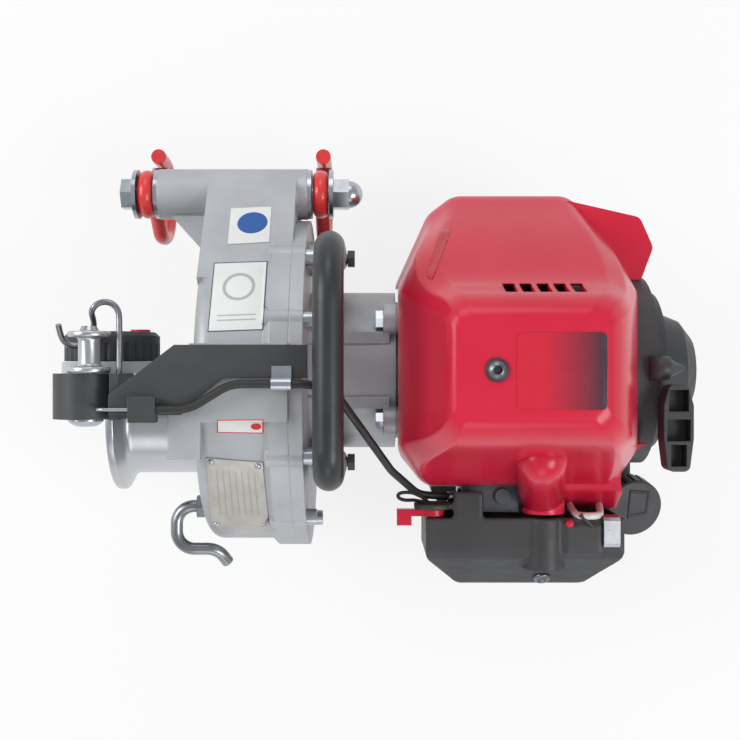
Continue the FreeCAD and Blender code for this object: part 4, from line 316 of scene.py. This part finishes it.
# Ways to make pieces, which sit where the photograph shows them
SINK = 0.2 * MM
RIBBON_EDGE = 0.3
SHARP_FROM = math.radians(30)
SMOOTH_PULLS = (0.50, -0.53)
UP = Vector((0, 0, 1))
TO_ENGINE = Vector((1, 0, 0))
TO_ROPE = Vector((-1, 0, 0))
TO_HOOKS = Vector((0, 1, 0))


def spot(carrier, x, y):
    """Point and outward direction on a node, seen at a pixel of the photograph."""
    found, point, normal, _ = nodes[carrier].ray_cast(CAMERA_AT, pixel_ray(x, y))
    if not found:
        raise ValueError("nothing of %s at %g, %g" % (carrier, x, y))
    return point, normal


def middle_of(low, high):
    return [(one + two) / 2 for one, two in zip(low, high)]


def add_piece(name, verts, faces, material, body="frame", matrix=None, smooth=True):
    """A mesh with outward faces and one material, which rides a body."""
    mesh = bpy.data.meshes.new(name)
    mesh.from_pydata(verts, [], faces)
    mesh.validate()
    mesh.update()
    shape = bmesh.new()
    shape.from_mesh(mesh)
    bmesh.ops.recalc_face_normals(shape, faces=shape.faces)
    shape.to_mesh(mesh)
    shape.free()
    mesh.polygons.foreach_set("use_smooth", [smooth] * len(mesh.polygons))
    mesh.materials.append(material)
    piece = bpy.data.objects.new(name, mesh)
    if matrix is not None:
        piece.matrix_world = matrix
    scene.collection.objects.link(piece)
    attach(piece, body)
    return piece


def facing(middle, along, normal):
    """A frame at a point, X along the first direction and Z outward."""
    side = normal.cross(along).normalized()
    along = side.cross(normal).normalized()
    return Matrix.Translation(middle) @ Matrix((along, side, normal)).transposed().to_4x4()


def round_corner(u, v, corner):
    """Pulls a point of the unit square in, so that the square's corners become arcs of these shares."""
    bent = []
    for share, size in zip((u, v), corner):
        over = abs(2 * share - 1) - (1 - 2 * size)
        bent.append((math.copysign(1, share - 0.5), max(over / (2 * size), 0)))
    if not all(depth for _, depth in bent):
        return u, v
    (sign_u, a), (sign_v, b) = bent
    a, b = a * math.sqrt(1 - b * b / 2), b * math.sqrt(1 - a * a / 2)
    return (0.5 + sign_u * (0.5 - corner[0] + corner[0] * a),
            0.5 + sign_v * (0.5 - corner[1] + corner[1] * b))


def decal(name, carrier, corners, rise, look, cells=(14, 14), corner=None, smooth=False,
          body="frame"):
    """A thin closed slab over four pixels, top left first and clockwise, that follows its carrier.

    rise is the height above the carrier at a share across and a share down, and look makes the
    material from the width and height of the slab.
    """
    across, down = cells
    top_left, top_right, low_right, low_left = corners
    grid = []
    for row in range(down + 1):
        for column in range(across + 1):
            u, v = column / across, row / down
            if corner:
                u, v = round_corner(u, v, corner)
            pixel = [(top_left[k] * (1 - u) + top_right[k] * u) * (1 - v)
                     + (low_left[k] * (1 - u) + low_right[k] * u) * v for k in (0, 1)]
            grid.append((u, v, *spot(carrier, *pixel)))
    wide = across + 1
    start, right_end, low_end = (grid[k][2] for k in (0, across, -wide))
    _, _, middle, outward = grid[(down // 2) * wide + across // 2]
    matrix = facing(middle, right_end - start, outward)
    back = matrix.inverted()
    count = len(grid)
    verts = [back @ (point + normal * rise(u, v)) for u, v, point, normal in grid]
    verts += [back @ (point - normal * SINK) for _, _, point, normal in grid]
    faces = []
    for row in range(down):
        for column in range(across):
            a = row * wide + column
            quad = (a, a + 1, a + wide + 1, a + wide)
            faces.append(quad)
            faces.append(tuple(count + k for k in reversed(quad)))
    rim = list(range(across)) + [across + wide * k for k in range(down)]
    rim += [count - 1 - k for k in range(across)] + [wide * (down - k) for k in range(down)]
    for here, there in zip(rim, rim[1:] + rim[:1]):
        faces.append((here, count + here, count + there, there))
    size = ((right_end - start).length, (low_end - start).length)
    piece = add_piece(name, verts, faces, look(size), body, matrix, smooth)
    spread = piece.data.uv_layers.new(name=FACE)
    for place, loop in zip(spread.data, piece.data.loops):
        u, v = grid[loop.vertex_index % count][:2]
        place.uv = (u, 1 - v)


def flat(height):
    """The same rise all over a slab."""
    return lambda u, v: height


def raised_rim(base, height, place, width):
    """Rise in millimetres of a rim round a slab, placed in shares of the way from middle to edge."""
    def rise(u, v):
        edge = max(abs(2 * u - 1), abs(2 * v - 1))
        return (base + height * math.exp(-((edge - place) / width) ** 2)) * MM
    return rise


def plain(name):
    """A material that is the same for every size of slab."""
    return lambda size: materials[name]


def turned_piece(name, profile, at, axis, slot, look=None, body="frame", steps=24):
    """A closed turned form; the profile runs from the axis, or from a bore, outward and back to it."""
    verts, faces = [], []
    bored = profile[0][0] > 0
    outer = profile if bored else profile[1:-1]
    for step in range(steps):
        angle = 2 * math.pi * step / steps
        verts += [(r * math.cos(angle), r * math.sin(angle), h) for r, h in outer]
    ends = (len(verts), len(verts) + 1)
    if not bored:
        verts += [(0, 0, profile[0][1]), (0, 0, profile[-1][1])]
    size = len(outer)
    for step in range(steps):
        a, b = step * size, (step + 1) % steps * size
        faces += [(a + k, b + k, b + k + 1, a + k + 1) for k in range(size - 1)]
        if bored:
            faces.append((a + size - 1, b + size - 1, b, a))
        else:
            faces += [(ends[0], b, a), (ends[1], a + size - 1, b + size - 1)]
    matrix = facing(at, axis.orthogonal(), axis)
    return add_piece(name, verts, faces, materials[look or slot], body, matrix)


def metres(profile):
    """A profile of radius and height, from millimetres."""
    return [(radius * MM, height * MM) for radius, height in profile]


def arc_points(middle, radius, start, end, steps=8):
    """Points of an arc as radius and height; angle 0 is outward, a quarter turn is along the height."""
    angles = [start + (end - start) * step / steps for step in range(steps + 1)]
    return [(middle[0] + radius * math.cos(a), middle[1] + radius * math.sin(a)) for a in angles]


def wire_piece(name, points, radius, slot, look=None, body="frame"):
    """A smooth round wire or tube along its control points, in millimetres."""
    curve = bpy.data.curves.new(name, "CURVE")
    curve.dimensions = "3D"
    curve.bevel_depth = radius * MM
    curve.bevel_resolution = 4
    curve.resolution_u = 10
    curve.use_fill_caps = True
    line = curve.splines.new("NURBS")
    line.points.add(len(points) - 1)
    for point, place in zip(line.points, points):
        point.co = (*(Vector(place) * MM), 1)
    line.order_u = 3
    line.use_endpoint_u = True
    curve.materials.append(materials[look or slot])
    piece = bpy.data.objects.new(name, curve)
    scene.collection.objects.link(piece)
    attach(piece, body)
    return piece


def ribbon_piece(name, path, thick, sides, slot, look=None):
    """A bent strip of sheet, its path in the YZ plane and its two sides on X, all in millimetres."""
    spots = [Vector(place) for place in path]
    upper, lower = [], []
    for index, here in enumerate(spots):
        along = spots[min(index + 1, len(spots) - 1)] - spots[max(index - 1, 0)]
        side = Vector((-along.y, along.x)).normalized() * (thick / 2)
        upper.append(here + side)
        lower.append(here - side)
    loop = upper + lower[::-1]
    verts = [Vector((x, p.x, p.y)) * MM for x in sides for p in loop]
    size = len(loop)
    faces = []
    for k in range(size):
        after = (k + 1) % size
        faces.append((k, after, size + after, size + k))
    for k in range(len(spots) - 1):
        cap = (k, k + 1, size - 2 - k, size - 1 - k)
        faces += [cap, tuple(size + index for index in cap)]
    piece = add_piece(name, verts, faces, materials[look or slot], smooth=False)
    soft = piece.modifiers.new("edges", "BEVEL")
    soft.width = thick * RIBBON_EDGE * MM
    soft.segments = 2


def eased(node, voxel, rounds, slot):
    """The form of a node with its corners eased, in place of the node."""
    piece = bpy.data.objects.new(node + "_moulded", nodes[node].data.copy())
    scene.collection.objects.link(piece)
    skin = piece.modifiers.new("skin", "REMESH")
    skin.mode = "VOXEL"
    skin.voxel_size = voxel
    bpy.context.view_layer.update()
    mesh = bpy.data.meshes.new_from_object(piece.evaluated_get(bpy.context.evaluated_depsgraph_get()))
    piece.modifiers.clear()
    piece.data = mesh
    count = len(mesh.vertices)
    places = numpy.empty(count * 3)
    mesh.vertices.foreach_get("co", places)
    places = places.reshape(-1, 3)
    ends = numpy.empty(len(mesh.edges) * 2, dtype=numpy.int32)
    mesh.edges.foreach_get("vertices", ends)
    ends = ends.reshape(-1, 2)
    here, there = numpy.concatenate([ends, ends[:, ::-1]]).T
    degree = numpy.bincount(here, minlength=count)
    for pull in SMOOTH_PULLS * rounds:
        for axis in range(3):
            mean = numpy.bincount(here, places[there, axis], count) / degree
            places[:, axis] += pull * (mean - places[:, axis])
    mesh.vertices.foreach_set("co", places.ravel())
    mesh.polygons.foreach_set("use_smooth", [True] * len(mesh.polygons))
    mesh.materials.clear()
    mesh.materials.append(materials[slot])
    mesh.update()
    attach(piece, "frame")
    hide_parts(node)


# Labels on the gear case, with bare marks: a colour, a kind and its place in shares of the label
PAPER = (0.78, 0.78, 0.77)
PAPER_SHADE = 0.94
PAPER_CLOUD = 12 * MM
PAPER_GRAIN = 0.8 * MM
PAPER_DEPTH = 10 * MICRON
PAPER_SMEAR = 6 * MM
PAPER_ROUGH = (0.34, 0.50)
BLUE = (0.010, 0.090, 0.34)
RED = (0.62, 0.030, 0.030)
INK = grey(0.05)
PALE_INK = grey(0.42)
STICKER = 0.25 * MM
LABEL_PIXELS = {
    "label_round": [(230.5, 208), (272, 206.3), (269.7, 242.5), (227, 244.7)],
    "label_tall": [(214, 263), (267.8, 261.2), (263.2, 330), (207.5, 332)],
    "label_narrow": [(217, 420), (263.5, 419.5), (263.5, 433.5), (217, 432.5)],
}
LABEL_MARKS = {
    "label_round": [
        (PALE_INK, "border", (0, 0), (0.97, 0.97)),
        (BLUE, "disc", (0.06, 0.06), 0.36),
    ],
    "label_tall": [
        (INK, "border", (0, 0), (0.965, 0.975)),
        (PALE_INK, "disc", (0, 0.14), 0.30),
        (PAPER, "disc", (0, 0.14), 0.24),
        (PALE_INK, "block", (0, -0.27), (0.70, 0.02)),
        (PALE_INK, "block", (0, -0.34), (0.70, 0.02)),
    ],
    "label_narrow": [
        (RED, "border", (0, 0), (0.955, 0.86)),
        (RED, "disc", (0.34, 0.0), 0.24),
    ],
}


def paper(name, marks):
    """Paper with printed marks, where a border is all that lies outside its block."""
    def look(size):
        made = Finish(name)
        made.spread(size)
        clouds = made.remap(made.noise(PAPER_CLOUD), 0, 1)
        colour = made.blend(clouds, tuple(c * PAPER_SHADE for c in PAPER), PAPER)
        for ink, kind, middle, extent in marks:
            at = tuple(share * length for share, length in zip(middle, size))
            if kind == "disc":
                mask = made.disc(at, extent * min(size))
            else:
                mask = made.block(at, tuple(share * length for share, length in zip(extent, size)))
            if kind == "border":
                mask = made.math("SUBTRACT", 1.0, mask)
            colour = made.blend(mask, colour, ink)
        made.bump(made.noise(PAPER_GRAIN, GRAIN_DETAIL), PAPER_DEPTH)
        return made.finish(colour, made.remap(made.noise(PAPER_SMEAR), *PAPER_ROUGH))
    return look


for name, pixels in LABEL_PIXELS.items():
    decal(name, "gear_housing", pixels, flat(STICKER), paper(name, LABEL_MARKS[name]))

# Ruled plate on the gear case and its four rivets
PLATE_PIXELS = [(206, 457.5), (263, 462), (270, 528), (212, 527)]
PLATE_CELLS = (12, 24)
PLATE_THICK = 0.8 * MM
PLATE_DARK = (0.44, 0.42, 0.38)
PLATE_LIGHT = (0.52, 0.50, 0.46)
PLATE_CLOUD = 10 * MM
PLATE_EDGE = 0.5 * MM
PLATE_GRAIN = 0.5 * MM
PLATE_DEPTH = 20 * MICRON
PLATE_SMEAR = 6 * MM
PLATE_ROUGH = (0.36, 0.50)
RULES = 7
RULE_COLOUR = (0.40, 0.38, 0.345)
RULE_STEP = 0.11
RULE_SHIFT = 0.02
RULE_WIDE = 0.030
RULE_TALL = 0.66
RIVET_PIXELS = [(211, 461.5), (258, 465.5), (265, 524), (217, 523)]
RIVET = metres([(0, 0.4), (1.9, 0.4), (1.9, 1.0), (1.6, 1.7), (0.9, 2.15), (0, 2.3)])


def etched(size):
    """Dull plate metal with faint blank rules across it."""
    wide, tall = size
    made = Finish("data_plate", metallic=0.75)
    made.spread(size)
    colour = made.blend(made.remap(made.noise(PLATE_CLOUD), 0, 1), PLATE_DARK, PLATE_LIGHT)
    for number in range(RULES):
        middle = ((number - RULES // 2) * wide * RULE_STEP, tall * RULE_SHIFT)
        rule = made.block(middle, (wide * RULE_WIDE, tall * RULE_TALL))
        colour = made.blend(rule, colour, RULE_COLOUR)
    made.soften(PLATE_EDGE)
    made.bump(made.noise(PLATE_GRAIN, GRAIN_DETAIL), PLATE_DEPTH)
    return made.finish(colour, made.remap(made.noise(PLATE_SMEAR), *PLATE_ROUGH))


decal("data_plate", "gear_housing", PLATE_PIXELS, flat(PLATE_THICK), etched,
      PLATE_CELLS)
for number, pixel in enumerate(RIVET_PIXELS):
    at, out = spot("gear_housing", *pixel)
    turned_piece("plate_rivet_%d" % number, RIVET, at, out, "zinc_steel")

# Panel and recess on the red cover, the recess a darker red that is painted shade inside it, and a line
# moulded on the fuel cap
BADGE_PIXELS = [(517, 333), (607, 332), (607, 410), (517, 409)]
BADGE_CELLS = (24, 22)
BADGE_CORNER = (0.06, 0.07)
BADGE_RISE = 0.5 * MM
BADGE_RED = (0.58, 0.012, 0.034)
BADGE_DARK = (0.040, 0.022, 0.034)
BADGE_FADE = (-0.20, 0.48)
BADGE_GRAIN = 3 * MM
BADGE_DEPTH = 20 * MICRON
BADGE_SMEAR = 10 * MM
BADGE_ROUGH = (0.20, 0.30)
RECESS_PIXELS = [(440.3, 227.8), (451.7, 228.8), (432.5, 281), (425, 275)]
RECESS_CELLS = (14, 30)
RECESS_CORNER = (0.30, 0.12)
RECESS_RIM = raised_rim(base=0.1, height=0.7, place=0.78, width=0.16)
CAP_MARK_PIXELS = [(629.5, 489.6), (650, 491.4), (647.3, 513.8), (626.8, 519)]
CAP_MARK_CELLS = (26, 30)
CAP_MARK_LINE = raised_rim(base=-0.1, height=0.9, place=0.88, width=0.08)


def fading(size):
    """Smooth panel that goes from the cover's red to near black."""
    made = Finish("badge_panel")
    made.spread(size)
    fade = made.remap(made.along(0), 0, 1, *(size[0] * share for share in BADGE_FADE))
    colour = made.blend(fade, BADGE_RED, BADGE_DARK)
    made.bump(made.noise(BADGE_GRAIN, GRAIN_DETAIL), BADGE_DEPTH)
    return made.finish(colour, made.remap(made.noise(BADGE_SMEAR), *BADGE_ROUGH))


decal("cover_badge", "top_cover", BADGE_PIXELS, flat(BADGE_RISE), fading, BADGE_CELLS,
      BADGE_CORNER)
# The recess is a thin slab in painted shade, a darker red than the cover, with a raised rim round it
decal("cover_recess_painted_shade", "top_cover", RECESS_PIXELS, RECESS_RIM, plain("cover_recess_painted_shade"),
      RECESS_CELLS, RECESS_CORNER, smooth=True)
decal("cap_mark", "fuel_cap", CAP_MARK_PIXELS, CAP_MARK_LINE, plain("black_plastic"),
      CAP_MARK_CELLS, smooth=True, body="cap")

# Boss on top of the starter's housing, a short barrel that ends in a cone
BOSS_AT = Vector((243, 9, 160)) * MM
BOSS = metres([(0, -1), (7.4, -1), (7.4, 10.2), (6.6, 11.2), (5.4, 11.6), (1.9, 19.0), (0.9, 19.9),
               (0, 20.2)])
turned_piece("recoil_boss", BOSS, BOSS_AT, TO_ENGINE, "dark_plastic", steps=40)

# Ridge that carries the cover's post up its front slope, with a rounded upper end
RIDGE_FOOT = Vector((181, -69, 136)) * MM
RIDGE_TOP = Vector((171.5, -37, 203)) * MM
RIDGE_RADIUS = 14.4 * MM
RIDGE_END = 14 * MM
RIDGE_BENDS = 8


def post_ridge():
    way = RIDGE_TOP - RIDGE_FOOT
    shoulder = way.length - RIDGE_END
    profile = [(0, 0), (RIDGE_RADIUS, 0)]
    for step in range(RIDGE_BENDS):
        angle = math.pi / 2 * step / RIDGE_BENDS
        profile.append((RIDGE_RADIUS * math.cos(angle), shoulder + RIDGE_END * math.sin(angle)))
    profile.append((0, way.length))
    turned_piece("post_ridge", profile, RIDGE_FOOT, way.normalized(), "red_plastic", steps=64)


post_ridge()

# Capstan drum: the same barrel, bowl and rim as the node, with a steeper flange on a small fillet
BARREL_RADIUS = 38 * MM
COLLAR_RADIUS = 42 * MM
COLLAR_DEPTH = 4 * MM
FLANGE_LEAN = math.radians(62)
FLANGE_FILLET = 6 * MM
RIM_LAND = 4 * MM
RIM_ROUND = 1.5 * MM
BOWL_MOUTH = 44 * MM
BOWL_RADIUS = 33 * MM
BOWL_START = 20 * MM
BOWL_DEPTH = 44 * MM
HUB_RADIUS = 17 * MM
HUB_DEPTH = 10 * MM
DRUM_BORE = 10 * MM
DRUM_STEPS = 128


def capstan_drum():
    low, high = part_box("drum")
    length = high[0] - low[0]
    rim = (high[1] - low[1]) / 2
    land = length - RIM_LAND
    shoulder = arc_points((rim - RIM_ROUND, land), RIM_ROUND, -FLANGE_LEAN, 0)
    foot_radius = BARREL_RADIUS + FLANGE_FILLET * (1 - math.cos(FLANGE_LEAN))
    run = (shoulder[0][0] - foot_radius) / math.tan(FLANGE_LEAN)
    foot = shoulder[0][1] - run - FLANGE_FILLET * math.sin(FLANGE_LEAN)
    well = (BARREL_RADIUS + FLANGE_FILLET, foot)
    profile = [(DRUM_BORE, 0), (BARREL_RADIUS, 0)]
    profile += [(COLLAR_RADIUS, COLLAR_DEPTH), (BARREL_RADIUS, 2 * COLLAR_DEPTH)]
    profile += arc_points(well, FLANGE_FILLET, math.pi, math.pi - FLANGE_LEAN)
    profile += shoulder
    profile += arc_points((rim - RIM_ROUND, length - RIM_ROUND), RIM_ROUND, 0, math.pi / 2)
    profile += [(BOWL_MOUTH, length), (BOWL_RADIUS, length - BOWL_START)]
    profile += [(BOWL_RADIUS, length - BOWL_DEPTH), (HUB_RADIUS, length - BOWL_DEPTH)]
    profile += [(HUB_RADIUS, length - HUB_DEPTH), (DRUM_BORE, length - HUB_DEPTH)]
    _, across, up = middle_of(low, high)
    piece = turned_piece("drum_turned", profile, Vector((high[0], across, up)), TO_ROPE,
                         "polished_aluminium", "turned_metal", "capstan", DRUM_STEPS)
    piece.data.set_sharp_from_angle(angle=SHARP_FROM)
    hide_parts("drum")


capstan_drum()

# Guide pulley: the node's flanges and bore, with a straight barrel that runs into them by small fillets
PULLEY_BARREL = 6.2 * MM
PULLEY_BORE = 3.2 * MM
PULLEY_LIP = 3.4 * MM
PULLEY_ROUND = 1.2 * MM
PULLEY_FILLET = 2.2 * MM
PULLEY_STEPS = 96


def guide_pulley():
    low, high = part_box("guide_pulley")
    length = high[1] - low[1]
    tip = (high[0] - low[0]) / 2 - PULLEY_ROUND
    well = PULLEY_BARREL + PULLEY_FILLET
    start = [(PULLEY_BORE, 0)]
    start += arc_points((tip, PULLEY_ROUND), PULLEY_ROUND, -math.pi / 2, 0)
    start += arc_points((tip, PULLEY_LIP - PULLEY_ROUND), PULLEY_ROUND, 0, math.pi / 2)
    start += arc_points((well, PULLEY_LIP + PULLEY_FILLET), PULLEY_FILLET, -math.pi / 2, -math.pi)
    profile = start + [(r, length - h) for r, h in reversed(start)]
    across, _, up = middle_of(low, high)
    piece = turned_piece("pulley_turned", profile, Vector((across, low[1], up)), TO_HOOKS,
                         "polished_aluminium", "turned_metal", "pulley", PULLEY_STEPS)
    piece.data.set_sharp_from_angle(angle=SHARP_FROM)
    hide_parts("guide_pulley")


guide_pulley()

# Washer under the cover's screw, as high as the cover is seen there
COVER_SCREW_PIXEL = (488, 371)
WASHER = metres([(0, -0.4), (6.0, -0.4), (6.5, 0.2), (6.3, 1.2), (5.4, 1.5), (0, 1.5)])
washer_at = Vector(middle_of(*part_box("top_cover_screw")))
washer_at.z = spot("top_cover", *COVER_SCREW_PIXEL)[0].z
turned_piece("cover_screw_washer", WASHER, washer_at, UP, "black_plastic", steps=40)

# Wires, a hose and a short lever, with their radius and route in millimetres
PIGTAIL_RADIUS = 1.75
PIGTAIL_ROUTE = [
    (-67.5, -2, 194), (-67.5, 12, 194), (-67.5, 30, 194), (-67.5, 41.9, 194), (-72.3, 46.7, 194),
    (-79.1, 46.7, 194), (-83.9, 41.9, 194), (-84.8, 36.5, 182), (-86, 31, 178), (-87.8, 25.8, 178.2),
    (-92, 22.8, 178.5), (-97.5, 21.8, 179), (-102, 23.6, 180.8), (-104, 28.4, 183.4), (-104.2, 34, 186.4),
]
CHOKE_LOOP_RADIUS = 1.1
CHOKE_LOOP_ROUTE = [
    (111, -74.2, 140), (104, -71.8, 140), (96, -72.4, 139.4), (91.8, -70.4, 139),
    (93, -67.6, 139), (100, -67.2, 139.4), (106.5, -69.4, 140), (112, -74.2, 140.4),
]
HOSE_RADIUS = 2.3
HOSE_ROUTE = [
    (199, -75, 128), (200, -80.4, 143), (204, -80.6, 149.6),
    (212, -80.6, 149.8), (217, -80.4, 143), (218, -75, 126),
]
BULB_LEVER_RADIUS = 1.4
BULB_LEVER_ROUTE = [(202.5, -79.6, 150.2), (205, -82, 150), (207.5, -84.5, 149.4), (210.5, -87, 149.2)]
pigtail = wire_piece("pigtail_wire", PIGTAIL_ROUTE, PIGTAIL_RADIUS, "zinc_steel", "wire_steel")
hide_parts("pigtail_guide")
wire_piece("choke_loop", CHOKE_LOOP_ROUTE, CHOKE_LOOP_RADIUS, "cable_jacket")
wire_piece("fuel_return_hose", HOSE_ROUTE, HOSE_RADIUS, "grey_plastic", "clear_hose")
wire_piece("bulb_lever", BULB_LEVER_ROUTE, BULB_LEVER_RADIUS, "black_plastic")

# Peg on the air cleaner and ferrule at the end of the throttle cable
PEG_PIXEL = (569, 523)
PEG = metres([(0, -0.6), (2.5, -0.6), (2.5, 3.0), (2.1, 4.1), (1.1, 4.6), (0, 4.7)])
FERRULE_AT = Vector((127.6, -71, 131.1)) * MM
FERRULE = metres([(0, -4.5), (2.9, -4.5), (3.2, -4.0), (3.2, 1.5), (2.6, 2.4), (2.6, 4.6), (0, 4.6)])
turned_piece("clip_peg", PEG, spot("air_cleaner", *PEG_PIXEL)[0], UP, "red_plastic")
turned_piece("cable_ferrule", FERRULE, FERRULE_AT, TO_ENGINE, "zinc_steel")

# Sheet clip of the air cleaner and its catch, in millimetres, and the air cleaner's screw
CLIP_PATH = [
    (-80.9, 143.0), (-80.9, 148.0), (-81.6, 150.0), (-83.2, 151.0),
    (-97.2, 151.0), (-99.0, 150.2), (-99.8, 148.4), (-99.8, 146.6),
]
CLIP_THICK = 0.9
CLIP_SIDES = (216.6, 226.8)
CATCH_PATH = [(-98.0, 146.8), (-101.4, 147.2), (-103.6, 146.2), (-104.4, 143.6), (-104.0, 141.0)]
CATCH_THICK = 2.6
CATCH_SIDES = (215.8, 227.6)
CLEANER_SCREW_PIXEL = (541.5, 577)
CLEANER_SCREW = metres([(0, -1.0), (5.2, -1.0), (5.2, 1.2), (4.6, 2.0), (3.0, 2.4), (2.6, 1.2),
                        (0, 1.0)])
ribbon_piece("cleaner_clip", CLIP_PATH, CLIP_THICK, CLIP_SIDES, "zinc_steel", "clip_steel")
ribbon_piece("clip_catch", CATCH_PATH, CATCH_THICK, CATCH_SIDES, "black_plastic")
screw_at, screw_way = spot("air_cleaner", *CLEANER_SCREW_PIXEL)
turned_piece("cleaner_screw", CLEANER_SCREW, screw_at, screw_way, "dark_steel", "screw_steel", steps=32)

# Air cleaner with eased corners; it hides its node, so every piece placed on that node comes before it
MOULD_VOXEL = 1.1 * MM
MOULD_ROUNDS = 14
eased("air_cleaner", MOULD_VOXEL, MOULD_ROUNDS, "black_plastic")

# Studio: white floor that keeps a faint shadow, a lamp at each side and weaker ones behind and in front
FLOOR_REACH = 3.0
FLOOR_COLOUR = (0.80, 0.80, 0.80, 1)
FLOOR_GLOW = 0.80
SKY_COLOUR = (0.94, 0.97, 1.0, 1)
SKY_STRENGTH = {"From Min": 0.0, "From Max": 0.30, "To Min": 1.1, "To Max": 0.48}
LAMP_TARGET = Vector((0.08, 0.0, 0.1))
LAMPS = {
    "key": dict(at=(1.0, -0.45, 1.3), size=0.8, power=10),
    "fill": dict(at=(-1.2, 0.4, 1.1), size=0.9, power=12),
    "back": dict(at=(0.05, 1.3, 1.0), size=0.9, power=4),
    "front": dict(at=(0.05, -1.3, 1.0), size=0.9, power=3),
}


def make_floor():
    """A sheet that glows to the rays that see or mirror it, and is matt to all others."""
    low, high = -FLOOR_REACH, FLOOR_REACH
    corners = [(low, low, 0), (high, low, 0), (high, high, 0), (low, high, 0)]
    mesh = bpy.data.meshes.new("floor")
    mesh.from_pydata(corners, [], [(0, 1, 2, 3)])
    floor = bpy.data.objects.new("floor", mesh)
    scene.collection.objects.link(floor)
    material = bpy.data.materials.new("floor")
    material.use_nodes = True
    tree = material.node_tree
    tree.nodes.clear()
    shade = tree.nodes.new("ShaderNodeBsdfDiffuse")
    shade.inputs["Color"].default_value = FLOOR_COLOUR
    glow = tree.nodes.new("ShaderNodeEmission")
    rays = tree.nodes.new("ShaderNodeLightPath")
    seen = rays.outputs["Is Camera Ray"]
    for name in ("Is Glossy Ray", "Is Transmission Ray"):
        either = tree.nodes.new("ShaderNodeMath")
        either.operation = "MAXIMUM"
        tree.links.new(seen, either.inputs[0])
        tree.links.new(rays.outputs[name], either.inputs[1])
        seen = either.outputs[0]
    share = tree.nodes.new("ShaderNodeMath")
    share.operation = "MULTIPLY"
    share.inputs[1].default_value = FLOOR_GLOW
    tree.links.new(seen, share.inputs[0])
    mix = tree.nodes.new("ShaderNodeMixShader")
    tree.links.new(share.outputs[0], mix.inputs[0])
    tree.links.new(shade.outputs[0], mix.inputs[1])
    tree.links.new(glow.outputs[0], mix.inputs[2])
    out = tree.nodes.new("ShaderNodeOutputMaterial")
    tree.links.new(mix.outputs[0], out.inputs["Surface"])
    mesh.materials.append(material)


def make_lamp(name, at, size, power):
    data = bpy.data.lights.new(name, "AREA")
    data.shape = "DISK"
    data.size = size
    data.energy = power
    lamp = bpy.data.objects.new(name, data)
    lamp.location = at
    lamp.rotation_euler = (LAMP_TARGET - Vector(at)).to_track_quat("-Z", "Y").to_euler()
    scene.collection.objects.link(lamp)


def make_world():
    """A pale sky that is brighter towards the horizon."""
    world = bpy.data.worlds.new("studio")
    world.use_nodes = True
    tree = world.node_tree
    sky = tree.nodes["Background"]
    sky.inputs["Color"].default_value = SKY_COLOUR
    way = tree.nodes.new("ShaderNodeTexCoord")
    parts = tree.nodes.new("ShaderNodeSeparateXYZ")
    tree.links.new(way.outputs["Generated"], parts.inputs[0])
    level = tree.nodes.new("ShaderNodeMapRange")
    level.interpolation_type = "SMOOTHSTEP"
    for name, value in SKY_STRENGTH.items():
        level.inputs[name].default_value = value
    tree.links.new(parts.outputs["Z"], level.inputs["Value"])
    tree.links.new(level.outputs["Result"], sky.inputs["Strength"])
    scene.world = world


make_camera()
make_floor()
make_world()
for name, settings in LAMPS.items():
    make_lamp(name, **settings)
scene.view_settings.view_transform = "Standard"
